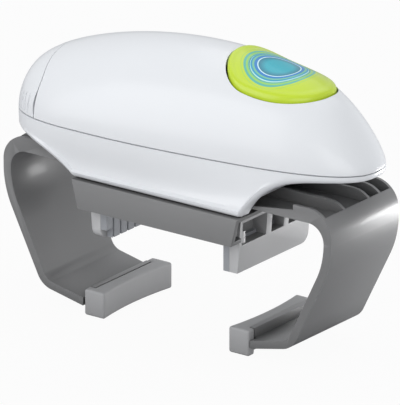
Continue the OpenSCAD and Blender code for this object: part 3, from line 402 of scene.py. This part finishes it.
def new_group(name, inputs, outputs):
    """An empty node group with the named sockets."""
    group = bpy.data.node_groups.new(name, "ShaderNodeTree")
    for label, kind, value in inputs:
        socket = group.interface.new_socket(label, in_out="INPUT", socket_type=kind)
        socket.default_value = value
    for label, kind in outputs:
        group.interface.new_socket(label, in_out="OUTPUT", socket_type=kind)
    return group, group.nodes.new("NodeGroupInput"), group.nodes.new("NodeGroupOutput")


def worked(tree, operation, a, b):
    """The result of a math node on two sockets or numbers."""
    node = tree.nodes.new("ShaderNodeMath")
    node.operation = operation
    for socket, source in zip(node.inputs, (a, b)):
        if isinstance(source, (int, float)):
            socket.default_value = source
        else:
            tree.links.new(source, socket)
    return node.outputs[0]


def moulded_and_shade_group():
    """Fine moulding texture: uneven colour and gloss, painted shade darkening the crevices, and a pebbled
    normal.
    """
    name = "Moulded surface with painted shade"
    if name in bpy.data.node_groups:
        return bpy.data.node_groups[name]
    group, start, end = new_group(
        name,
        [
            ("Color", "NodeSocketColor", (0.5, 0.5, 0.5, 1)),
            ("Roughness", "NodeSocketFloat", 0.4),
            ("Unevenness", "NodeSocketFloat", 0.04),
            ("Grain Size", "NodeSocketFloat", 900.0),
            ("Grain Depth", "NodeSocketFloat", 0.03),
            ("Painted Crevice Shade", "NodeSocketFloat", 0.0),
        ],
        [("Color", "NodeSocketColor"), ("Roughness", "NodeSocketFloat"), ("Normal", "NodeSocketVector")],
    )
    nodes, link = group.nodes, group.links.new
    place = nodes.new("ShaderNodeTexCoord")
    cloud = nodes.new("ShaderNodeTexNoise")
    cloud.inputs["Scale"].default_value = 28
    cloud.inputs["Detail"].default_value = 3
    link(place.outputs["Object"], cloud.inputs["Vector"])
    grain = nodes.new("ShaderNodeTexNoise")
    grain.inputs["Detail"].default_value = 2
    link(place.outputs["Object"], grain.inputs["Vector"])
    link(start.outputs["Grain Size"], grain.inputs["Scale"])
    spread = nodes.new("ShaderNodeMapRange")
    spread.inputs["To Min"].default_value = -1
    link(cloud.outputs["Fac"], spread.inputs["Value"])
    amount = worked(group, "MULTIPLY", spread.outputs["Result"], start.outputs["Unevenness"])
    gain = worked(group, "ADD", amount, 1)
    # Painted shade: the colour is darkened by the given share where near geometry hems the surface in
    crevice_ao = nodes.new("ShaderNodeAmbientOcclusion")
    crevice_ao.samples = 8
    crevice_ao.inputs["Distance"].default_value = 0.02
    crevice_occlusion = worked(group, "SUBTRACT", 1, crevice_ao.outputs["AO"])
    crevice_shade_amount = worked(group, "MULTIPLY", crevice_occlusion, start.outputs["Painted Crevice Shade"])
    tint = nodes.new("ShaderNodeVectorMath")
    tint.operation = "SCALE"
    link(start.outputs["Color"], tint.inputs[0])
    link(worked(group, "SUBTRACT", gain, crevice_shade_amount), tint.inputs["Scale"])
    link(tint.outputs[0], end.inputs["Color"])
    link(worked(group, "MULTIPLY", start.outputs["Roughness"], gain), end.inputs["Roughness"])
    bump = nodes.new("ShaderNodeBump")
    bump.inputs["Distance"].default_value = 0.0001
    link(start.outputs["Grain Depth"], bump.inputs["Strength"])
    link(grain.outputs["Fac"], bump.inputs["Height"])
    link(bump.outputs["Normal"], end.inputs["Normal"])
    return group


def edge_highlight_group():
    """Mask of the edges and corners, where a painted highlight makes a moulded piece a little paler."""
    name = "Painted edge highlight"
    if name in bpy.data.node_groups:
        return bpy.data.node_groups[name]
    group, start, end = new_group(
        name,
        [("Color", "NodeSocketColor", (0.5, 0.5, 0.5, 1)), ("Amount", "NodeSocketFloat", 0.2)],
        [("Color", "NodeSocketColor")],
    )
    nodes, link = group.nodes, group.links.new
    # Painted highlight: edges and corners, found by pointiness, are made paler
    place = nodes.new("ShaderNodeNewGeometry")
    edge = nodes.new("ShaderNodeMapRange")
    edge.inputs["From Min"].default_value = 0.5
    edge.inputs["From Max"].default_value = 0.62
    link(place.outputs["Pointiness"], edge.inputs["Value"])
    share = worked(group, "MULTIPLY", edge.outputs["Result"], start.outputs["Amount"])
    tint = nodes.new("ShaderNodeVectorMath")
    tint.operation = "SCALE"
    link(start.outputs["Color"], tint.inputs[0])
    link(worked(group, "ADD", share, 1), tint.inputs["Scale"])
    link(tint.outputs[0], end.inputs["Color"])
    return group


def surface(
    name, color, roughness, unevenness=0.03, grain=900.0, depth=0.03, metal=0.0, coat=0.0, edge_highlight=0.0,
    specular=0.5, sheen=0.0, painted_crevice_shade=0.0,
):
    """A Principled material with the moulded surface behind it, with painted crevice shade and a painted edge
    highlight where asked.
    """
    if name in bpy.data.materials:
        return bpy.data.materials[name]
    material = bpy.data.materials.new(name)
    material.use_nodes = True
    nodes, link = material.node_tree.nodes, material.node_tree.links.new
    shader = nodes["Principled BSDF"]
    shader.inputs["Metallic"].default_value = metal
    shader.inputs["Coat Weight"].default_value = coat
    shader.inputs["Coat Roughness"].default_value = 0.12
    shader.inputs["Specular IOR Level"].default_value = specular
    shader.inputs["Sheen Weight"].default_value = sheen
    texture = nodes.new("ShaderNodeGroup")
    texture.node_tree = moulded_and_shade_group()
    texture.inputs["Color"].default_value = (*color, 1)
    texture.inputs["Roughness"].default_value = roughness
    texture.inputs["Unevenness"].default_value = unevenness
    texture.inputs["Grain Size"].default_value = grain
    texture.inputs["Grain Depth"].default_value = depth
    # Share of painted shade in the crevices
    texture.inputs["Painted Crevice Shade"].default_value = painted_crevice_shade
    out = texture.outputs["Color"]
    # Painted highlight on the edges, when asked for
    if edge_highlight:
        edges = nodes.new("ShaderNodeGroup")
        edges.node_tree = edge_highlight_group()
        edges.inputs["Amount"].default_value = edge_highlight
        link(out, edges.inputs["Color"])
        out = edges.outputs["Color"]
    link(out, shader.inputs["Base Color"])
    link(texture.outputs["Roughness"], shader.inputs["Roughness"])
    link(texture.outputs["Normal"], shader.inputs["Normal"])
    return material


def dress(obj, material):
    """Gives the whole piece one material."""
    obj.data.materials.clear()
    obj.data.materials.append(material)


def dress_node(node, material):
    """Gives a CAD piece that stays in view a material."""
    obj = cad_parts[node]
    if obj.material_slots:
        for s in obj.material_slots:
            s.material = material
    else:
        obj.data.materials.append(material)


# ---- Shells ----


def plan_angles(s, steps=260):
    """Angles round the plan, close together where the belly starts to rise."""
    angles = [2 * math.pi * (i + 0.5) / steps for i in range(steps)]
    for side in (1, -1):
        n = s.nose_square if side > 0 else s.back_square
        run = s.nose - s.widest if side > 0 else s.widest + s.back
        for d in (0, 0.8, 1.8, 3, 4.4):
            c = (side * (s.skirt_end + d) - s.widest) / (side * run)
            if not 0 < c < 1:
                continue
            a = math.acos(side * c ** (n / 2))
            angles += [a, 2 * math.pi - a]
    angles = sorted(angles)
    return [a for i, a in enumerate(angles) if i == 0 or a - angles[i - 1] > 1e-4]


def dome_rings(s, inset, base, steps=74, lip=False):
    """Rings of the skin over the seam, from its foot at height base to the crown."""
    angles = plan_angles(s)
    squeeze = (s.crown - inset) / s.crown
    rings = []
    if lip:
        for back, up in ((0.35, 0.0), (0.1, 0.12), (0.0, 0.35)):
            ring = [plan_point(s, a, inset + back) for a in angles]
            rings.append([(x, y, base + up) for x, y in ring])
    else:
        ring = [plan_point(s, a, inset) for a in angles]
        rings.append([(x, y, base) for x, y in ring])
    floor = base + 0.5
    for i in range(1, steps + 1):
        share = rounded(math.sin(math.pi / 2 * i / (steps + 0.4)), 3)
        ring = []
        for a in angles:
            x, y = plan_point(s, a)
            xi, yi = plan_point(s, a, inset)
            at = s.widest + (x - s.widest) * share
            z = s.seam + squeeze * (crown_z(s, at, y * share) - s.seam)
            ring.append((s.widest + (xi - s.widest) * share, yi * share, max(z, floor + 0.01 * i)))
        rings.append(ring)
    return rings


def cover_side(s, c, shift, notch=0.0):
    """Side profile of the battery cover's part line, with the space to its left."""
    x = c.at + shift
    z = s.seam + c.foot
    # Share of the notch's depth and height over the seam, then share of the lean and height over the foot
    line = [(x - notch * k, s.seam + up) for k, up in ((0, 1.5), (0.7, 4), (1, 6.5), (0.7, 9), (0, 12))]
    line += [(x - c.lean * k, z + up) for k, up in ((0, 0), (0.12, 2.4), (0.35, 5), (0.7, 8.2), (1, 11))]
    return [(-FAR, -FAR), (x, -FAR), *line, (x - c.lean * 1.2, FAR + 100), (-FAR, FAR + 100)]


def grip_line(s, c, x, side):
    """A slim upright groove along the flank."""
    half = flank(s, x) * rounded(along(s, x), s.back_square)
    high = crown_z(s, x, 0) - s.seam
    turns = [math.pi / 4 * j for j in range(8)]
    rings = []
    for k in range(9):
        up = c.grip_low + (c.grip_high - c.grip_low) * k / 8
        y = side * (half * rounded(up / high, s.cross_square) - 0.1)
        r = c.grip_radius * (0.35 if k in (0, 8) else 1)
        rings.append([(x + r * math.cos(t), y + r * math.sin(t), s.seam + up) for t in turns])
    return skin("groove", rings)


def whole_dome(s, name):
    base = s.seam + s.gap / 2
    outer = skin(name, dome_rings(s, 0, base, lip=True), "housing")
    inner = skin("inside", dome_rings(s, s.wall, base - 3))
    combine(outer, inner)
    return outer


def white():
    f = finishes()
    return surface("White shell", f.white, 0.3, 0.012, 1400, 0.012, coat=0.25, specular=0.45)


class OPENER_OT_upper_cover(bpy.types.Operator):
    """Builds the smooth upper cover with the opening for the button"""

    bl_idname = "opener.upper_cover"
    bl_label = "Upper cover"

    def execute(self, context):
        s, b = shell(), button()
        obj = whole_dome(s, "upper_cover_smooth")
        combine(obj, prism_y("end", cover_side(s, cover(), 0), -PAST_FLANK, PAST_FLANK))
        combine(obj, prism("well", teardrop(b, b.gap), s.seam + 4, 140))
        smooth(obj)
        dress(obj, white())
        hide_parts("upper_cover")
        return {"FINISHED"}


class OPENER_OT_battery_cover(bpy.types.Operator):
    """Builds the battery cover with its upright grip lines"""

    bl_idname = "opener.battery_cover"
    bl_label = "Battery cover"

    def execute(self, context):
        s, c = shell(), cover()
        obj = whole_dome(s, "battery_cover_smooth")
        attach(obj, "cover")
        side_view = cover_side(s, c, -s.gap - c.open_line, c.notch)
        combine(obj, prism_y("end", side_view, -PAST_FLANK, PAST_FLANK), "INTERSECT")
        for k in range(c.grips):
            for side in (1, -1):
                combine(obj, grip_line(s, c, c.grip_at - k * c.grip_pitch, side))
        smooth(obj)
        dress(obj, white())
        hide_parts("battery_cover")
        return {"FINISHED"}


def hull_rings(s, inset, top, lift, rounding):
    """Rings from the seam down the wall, round the edge and in to the middle."""
    angles = plan_angles(s)
    columns = []
    for a in angles:
        x0, _ = plan_point(s, a, inset)
        low = belly_z(s, x0) + lift
        r = min(rounding, 0.75 * (top - low))
        column = []
        levels = 12
        for i in range(levels + 1):
            z = top + (low + r - top) * i / levels
            x, y = wall_point(s, a, z, inset)
            column.append((x, y, z))
        for i in range(1, 7):
            t = math.pi / 2 * i / 6
            back = r * (1 - math.cos(t))
            x, y = wall_point(s, a, low + r * (1 - math.sin(t)), inset + back)
            column.append((x, y, belly_z(s, x) + lift + r * (1 - math.sin(t))))
        x, y, z = column[-1]
        for k in (0.75, 0.45, 0.15):
            column.append((x, y * k, belly_z(s, x) + lift))
        columns.append(column)
    return [[c[i] for c in columns] for i in range(len(columns[0]))][::-1]


def hull(s, name, inset, top, lift, rounding, body=None):
    """A closed solid under the seam, with its belly joined across the middle."""
    rings = hull_rings(s, inset, top, lift, rounding)
    m = len(rings[0])
    points = [p for ring in rings for p in ring]
    faces = [[(len(rings) - 1) * m + j for j in range(m)]] + side_faces(len(rings), m)
    for j in range(m // 2 - 1):
        faces.append([j, m - 1 - j, m - 2 - j, j + 1])
    return mesh_object(name, points, faces, body)


class OPENER_OT_lower_housing(bpy.types.Operator):
    """Builds the lower shell with its arched, rounded edges"""

    bl_idname = "opener.lower_housing"
    bl_label = "Lower housing"

    def execute(self, context):
        s = shell()
        top = s.seam - s.gap / 2
        obj = hull(s, "lower_housing_smooth", 0, top, 0, s.edge_round, "housing")
        combine(obj, hull(s, "inside", s.wall, top + 2, s.wall, 1.5))
        hole = s.skirt_end - s.wall
        combine(obj, box("skirt_hole", -hole, hole, -s.skirt_hole, s.skirt_hole, 5, s.skirt + 4))
        combine(obj, box("arm_slot", -FAR, FAR, -s.slot_half, s.slot_half, 0, s.slot_top))
        smooth(obj)
        dress(obj, white())
        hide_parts("lower_housing")
        return {"FINISHED"}


# ---- Button ----


def over_crown(s, b, outline, share, up):
    """An outline shrunk to a share about the lens's centre and laid on the button's top, lifted by up."""
    out = []
    for x0, y0 in outline:
        x, y = b.lens_at + (x0 - b.lens_at) * share, y0 * share
        out.append((x, y, press_z(s, b, x, y) + up))
    return out


def ringed(material, stops, reach_mm):
    """Colours the material by plain rings about the lens's centre."""
    nodes, link = material.node_tree.nodes, material.node_tree.links.new
    b = button()
    shader = nodes["Principled BSDF"]
    place = nodes.new("ShaderNodeTexCoord")
    middle = nodes.new("ShaderNodeVectorMath")
    middle.operation = "SUBTRACT"
    middle.inputs[1].default_value = (b.lens_at * MM, 0, 0)
    link(place.outputs["Object"], middle.inputs[0])
    flat = nodes.new("ShaderNodeVectorMath")
    flat.operation = "MULTIPLY"
    flat.inputs[1].default_value = (1 / (reach_mm * MM), 1 / (reach_mm * MM), 0)
    link(middle.outputs[0], flat.inputs[0])
    reach = nodes.new("ShaderNodeVectorMath")
    reach.operation = "LENGTH"
    link(flat.outputs[0], reach.inputs[0])
    ramp = nodes.new("ShaderNodeValToRGB")
    elements = ramp.color_ramp.elements
    for i, (at, colour) in enumerate(stops):
        stop = elements[i] if i < 2 else elements.new(at)
        stop.position = at
        stop.color = (*colour, 1)
    link(reach.outputs["Value"], ramp.inputs["Fac"])
    tint = shader.inputs["Base Color"].links[0].from_socket
    blend = nodes.new("ShaderNodeMix")
    blend.data_type = "RGBA"
    blend.blend_type = "MULTIPLY"
    blend.inputs["Factor"].default_value = 1
    link(tint, blend.inputs["A"])
    link(ramp.outputs["Color"], blend.inputs["B"])
    link(blend.outputs["Result"], shader.inputs["Base Color"])
    return material


def lens_material():
    """Teal lens with pale, blue and green rings."""
    name = "Ringed lens"
    if name in bpy.data.materials:
        return bpy.data.materials[name]
    deep, teal, pale, green = (0.0, 0.20, 0.30), (0.0, 0.40, 0.50), (0.62, 0.90, 0.95), (0.16, 0.52, 0.30)
    blue = (0.0, 0.20, 0.55)
    stops = [
        (0.0, teal), (1.0, green), (0.45, teal), (0.66, deep), (0.695, deep), (0.705, pale), (0.73, pale),
        (0.745, blue), (0.83, blue), (0.85, green), (0.90, green), (0.92, blue), (0.96, teal), (0.985, pale),
    ]
    plain = surface(name, finishes().lens, 0.38, 0.05, 500, 0.01, coat=0.25)
    return ringed(plain, stops, button().lens_radius)


def lime_material():
    """Lime button with two teal rings round the lens, and faint ones between and outside them."""
    name = "Lime button"
    if name in bpy.data.materials:
        return bpy.data.materials[name]
    plain, faint, strong = (1, 1, 1), (0.55, 0.88, 5.0), (0.16, 0.66, 18.0)
    stops = [
        (0.0, strong), (1.0, plain), (0.75, strong), (0.765, faint), (0.80, faint), (0.815, strong),
        (0.86, strong), (0.875, plain), (0.915, plain), (0.925, faint), (0.94, plain),
    ]
    lime = surface(name, finishes().lime, 0.32, 0.03, 700, 0.04, coat=0.35)
    return ringed(lime, stops, button().lens_radius + 5)


def ring_of(b, radius, steps=96):
    """A circle about the lens's centre."""
    turns = [2 * math.pi * i / steps for i in range(steps)]
    return [(b.lens_at + radius * math.cos(t), radius * math.sin(t)) for t in turns]


class OPENER_OT_button(bpy.types.Operator):
    """Builds the start button with its raised rim, and its lens"""

    bl_idname = "opener.button"
    bl_label = "Start button"

    def execute(self, context):
        s, b = shell(), button()
        edge = teardrop(b)
        seat_low = -b.sink - b.lens_deep
        # Share of the outline and height over the button's top: underside, flank, rim and face
        levels = [
            (0.1, -b.deep), (0.6, -b.deep), (0.97, -b.deep), (1, -b.deep + 0.5),
            (1, -1.5), (0.999, -1.1), (0.994, -0.7), (0.985, -0.35), (0.972, -0.1), (0.958, 0),
            (0.94, -0.02), (0.92, -0.1), (0.9, -0.25), (0.88, -0.45), (0.86, -0.6), (0.83, -b.sink),
            (0.75, -b.sink), (0.6, -b.sink), (0.4, -b.sink), (0.1, -b.sink),
        ]
        obj = skin("start_button_smooth", [over_crown(s, b, edge, k, up) for k, up in levels], "button")
        low = press_z(s, b, b.lens_at, 0)
        r = b.boss_radius
        foot = press_z(s, b, b.lens_at + r, r) - b.deep - 0.2
        combine(obj, prism("boss", ring_of(b, r), foot, low - b.deep / 2), "UNION")
        hole = ring_of(b, b.lens_radius + 0.1)
        cut = [(0.1, seat_low), (0.6, seat_low), (1, seat_low), (1, 2), (0.1, 2)]
        combine(obj, skin("seat", [over_crown(s, b, hole, k, up) for k, up in cut]))
        smooth(obj)
        dress(obj, lime_material())
        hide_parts("start_button")
        low, top = seat_low + 0.1, 0.3 - b.sink
        rim = ring_of(b, b.lens_radius)
        # Share of the lens's circle and height over the button's top: underside, eased edge and face
        levels = [
            (0.1, low), (0.6, low), (1, low), (1, top - 0.45), (0.99, top - 0.2),
            (0.97, top - 0.05), (0.94, top), (0.8, top), (0.6, top), (0.4, top), (0.2, top), (0.05, top),
        ]
        lens = skin("button_lens_smooth", [over_crown(s, b, rim, k, up) for k, up in levels], "button")
        face_outwards(lens)
        smooth(lens)
        dress(lens, lens_material())
        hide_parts("button_lens")
        return {"FINISHED"}


# ---- Arms, clamp, jaws and pads ----


class OPENER_OT_arms(bpy.types.Operator):
    """Eases the edges of the arms and of their pads"""

    bl_idname = "opener.arms"
    bl_label = "Arms"

    def execute(self, context):
        f = finishes()
        # Painted shade darkens the crevices of the arms and pads, and a painted highlight pales the arms'
        # edges
        arm = surface("Grey arm", f.arm, 0.38, 0.03, 800, 0.04, coat=0.12, edge_highlight=0.3, painted_crevice_shade=0.6)
        pad = surface("Pad rubber", f.pad, 0.62, 0.04, 500, 0.12, sheen=0.1, painted_crevice_shade=0.3)
        for side, body in (("right", "arm_R"), ("left", "arm_L")):
            dress(eased_copy("arm_" + side, body, 0.7, 3), arm)
            dress(eased_copy("arm_pad_" + side, body, 1.1, 4), pad)
        return {"FINISHED"}


class OPENER_OT_clamp(bpy.types.Operator):
    """Eases the edges of the clamp housing and of the lid jaws"""

    bl_idname = "opener.clamp"
    bl_label = "Lid clamp"

    def execute(self, context):
        f = finishes()
        # Painted shade darkens the crevices of the clamp and jaws, and a painted highlight pales their edges
        clamp = surface("Grey clamp", f.clamp, 0.45, 0.03, 800, 0.05, coat=0.05, edge_highlight=0.3, painted_crevice_shade=0.7)
        jaw = surface("Pale jaw", f.jaw, 0.45, 0.03, 800, 0.04, edge_highlight=0.2, painted_crevice_shade=0.7)
        grip = surface("Lid rubber", f.grip, 0.66, 0.05, 500, 0.12)
        dress(eased_copy("clamp_housing", "clamp", 0.45, 2), clamp)
        dress(eased_copy("base_plate", "housing", 0.3, 1), clamp)
        for side, body in (("right", "jaw_R"), ("left", "jaw_L")):
            dress(eased_copy("lid_jaw_" + side, body, 0.4, 2), jaw)
            dress(eased_copy("lid_pad_" + side, body, 0.25, 1), grip)
        return {"FINISHED"}


# ---- Pieces inside ----


class OPENER_OT_inside(bpy.types.Operator):
    """Gives each inner piece the finish of its real material"""

    bl_idname = "opener.inside"
    bl_label = "Inside"

    def execute(self, context):
        steel = surface("Plain steel", (0.60, 0.61, 0.63), 0.34, 0.05, 300, 0.04, metal=1.0)
        looks = {
            "cover_latch": white(),
            "button_frame": surface("Black well", (0.025, 0.026, 0.028), 0.5, 0.04, 700, 0.05),
            "micro_switch": surface("Switch case", (0.03, 0.03, 0.035), 0.45, 0.05, 600, 0.05),
            "circuit_board": surface("Solder mask", (0.02, 0.16, 0.07), 0.35, 0.12, 260, 0.08, coat=0.3),
            "motor_pinion": surface("Cut brass", (0.72, 0.52, 0.2), 0.3, 0.05, 300, 0.03, metal=1.0),
            "battery_tray": surface("Battery tray", (0.04, 0.042, 0.046), 0.5, 0.05, 700, 0.05),
            "battery_cells": surface("Cell sleeve", (0.05, 0.16, 0.34), 0.28, 0.03, 200, 0.02, coat=0.6),
        }
        plate = surface("Gear plate", (0.06, 0.062, 0.066), 0.5, 0.05, 700, 0.05)
        nylon = surface("Natural nylon", (0.76, 0.72, 0.58), 0.42, 0.04, 500, 0.04)
        shared = (
            (plate, "chassis_base chassis_top"),
            (nylon, "compound_gear_1 compound_gear_2 output_gear jaw_pinion arm_pinion"),
            (steel, "cover_contact button_spring motor motor_shaft gear_axles retaining_ring centre_shaft"),
            (steel, "contact_springs contact_plates housing_screws chassis_screws base_screws"),
        )
        for material, nodes in shared:
            looks.update((node, material) for node in nodes.split())
        for node, material in looks.items():
            dress_node(node, material)
        return {"FINISHED"}


# ---- Stage, light and camera ----


def area_light(name, place, size, power, aim=(0, 0, 0.02)):
    data = bpy.data.lights.new(name, "AREA")
    data.energy = power
    data.size = size
    lamp = bpy.data.objects.new(name, data)
    bpy.context.scene.collection.objects.link(lamp)
    lamp.location = place
    lamp.rotation_mode = "QUATERNION"
    lamp.rotation_quaternion = (Vector(aim) - Vector(place)).to_track_quat("-Z", "Y")


def paper_material(v):
    """The floor takes the object's shadow and looks plain white to the camera."""
    paper = bpy.data.materials.new("Paper floor")
    paper.use_nodes = True
    nodes, link = paper.node_tree.nodes, paper.node_tree.links.new
    shader = nodes["Principled BSDF"]
    shader.inputs["Base Color"].default_value = (*v.paper, 1)
    shader.inputs["Roughness"].default_value = 0.85
    shader.inputs["Specular IOR Level"].default_value = 0.1
    glow = nodes.new("ShaderNodeEmission")
    seen = nodes.new("ShaderNodeLightPath")
    blend = nodes.new("ShaderNodeMixShader")
    link(worked(paper.node_tree, "MULTIPLY", seen.outputs["Is Camera Ray"], v.glow), blend.inputs["Fac"])
    link(shader.outputs[0], blend.inputs[1])
    link(glow.outputs[0], blend.inputs[2])
    link(blend.outputs[0], nodes["Material Output"].inputs["Surface"])
    return paper


def studio_world(v):
    """Even, slightly cool light from all round, plain white to the camera."""
    world = bpy.data.worlds.new("Studio")
    world.use_nodes = True
    nodes, link = world.node_tree.nodes, world.node_tree.links.new
    sky = nodes["Background"]
    sky.inputs["Color"].default_value = (0.96, 0.975, 1.0, 1)
    sky.inputs["Strength"].default_value = v.sky
    plain = nodes.new("ShaderNodeBackground")
    plain.inputs["Color"].default_value = (1, 1, 1, 1)
    plain.inputs["Strength"].default_value = 1
    path = nodes.new("ShaderNodeLightPath")
    mix = nodes.new("ShaderNodeMixShader")
    link(path.outputs["Is Camera Ray"], mix.inputs["Fac"])
    link(sky.outputs[0], mix.inputs[1])
    link(plain.outputs[0], mix.inputs[2])
    link(mix.outputs[0], nodes["World Output"].inputs["Surface"])
    return world


class OPENER_OT_stage(bpy.types.Operator):
    """Sets the pale floor, the studio light and the camera"""

    bl_idname = "opener.stage"
    bl_label = "Stage"

    def execute(self, context):
        v = context.scene.opener_stage
        scene = context.scene
        a, e = math.radians(v.azimuth), math.radians(v.elevation)
        back = Vector((math.sin(a) * math.cos(e), -math.cos(a) * math.cos(e), math.sin(e)))
        data = bpy.data.cameras.new("Camera")
        data.sensor_fit = "VERTICAL"
        data.sensor_width = data.sensor_height = SENSOR
        data.lens = SENSOR * v.distance / v.tall
        data.clip_start, data.clip_end = 0.02, 40
        camera = bpy.data.objects.new("Camera", data)
        scene.collection.objects.link(camera)
        camera.location = Vector(v.aim) + back * v.distance
        camera.rotation_mode = "QUATERNION"
        camera.rotation_quaternion = (-back).to_track_quat("-Z", "Y")
        scene.camera = camera
        scene.view_settings.view_transform = "Standard"

        low, w = CAD_BOUNDS[0].z, v.reach
        floor = bpy.data.meshes.new("floor")
        floor.from_pydata([(-w, -w, low), (w, -w, low), (w, w, low), (-w, w, low)], [], [(0, 1, 2, 3)])
        floor.materials.append(paper_material(v))
        stage = bpy.data.objects.new("floor", floor)
        scene.collection.objects.link(stage)
        scene.world = studio_world(v)

        area_light("Key", place=(-0.45, -1.0, 0.4), size=1.0, power=5.1)
        area_light("Top", place=(-0.1, 0.45, 1.05), size=1.2, power=3.7)
        area_light("Fill", place=(0.75, -0.75, 0.2), size=0.8, power=2.9)
        area_light("Low", place=(0.16, 0.18, -0.07), size=0.12, power=0.8, aim=(0.085, 0.02, -0.06))
        return {"FINISHED"}


# ---- Panel and run ----

OPERATORS = (
    OPENER_OT_stage,
    OPENER_OT_upper_cover,
    OPENER_OT_battery_cover,
    OPENER_OT_lower_housing,
    OPENER_OT_button,
    OPENER_OT_arms,
    OPENER_OT_clamp,
    OPENER_OT_inside,
)


class OPENER_PT_panel(bpy.types.Panel):
    """Lists the pieces of the jar opener"""

    bl_idname = "OPENER_PT_panel"
    bl_label = "Jar opener"
    bl_space_type = "VIEW_3D"
    bl_region_type = "UI"
    bl_category = "Jar opener"

    def draw(self, context):
        for operator in OPERATORS:
            self.layout.operator(operator.bl_idname)


GROUPS = {
    "opener_shell": ShellShape,
    "opener_cover": CoverShape,
    "opener_button": ButtonShape,
    "opener_finishes": Finishes,
    "opener_stage": StageValues,
}


def register():
    for group in GROUPS.values():
        bpy.utils.register_class(group)
    for name, group in GROUPS.items():
        setattr(bpy.types.Scene, name, PointerProperty(type=group))
    for operator in OPERATORS:
        bpy.utils.register_class(operator)
    bpy.utils.register_class(OPENER_PT_panel)


def unregister():
    bpy.utils.unregister_class(OPENER_PT_panel)
    for operator in reversed(OPERATORS):
        bpy.utils.unregister_class(operator)
    for name, group in GROUPS.items():
        delattr(bpy.types.Scene, name)
        bpy.utils.unregister_class(group)


def main():
    register()
    for operator in OPERATORS:
        group, name = operator.bl_idname.split(".")
        getattr(getattr(bpy.ops, group), name)()
    bpy.context.view_layer.update()


if __name__ == "__main__":
    main()
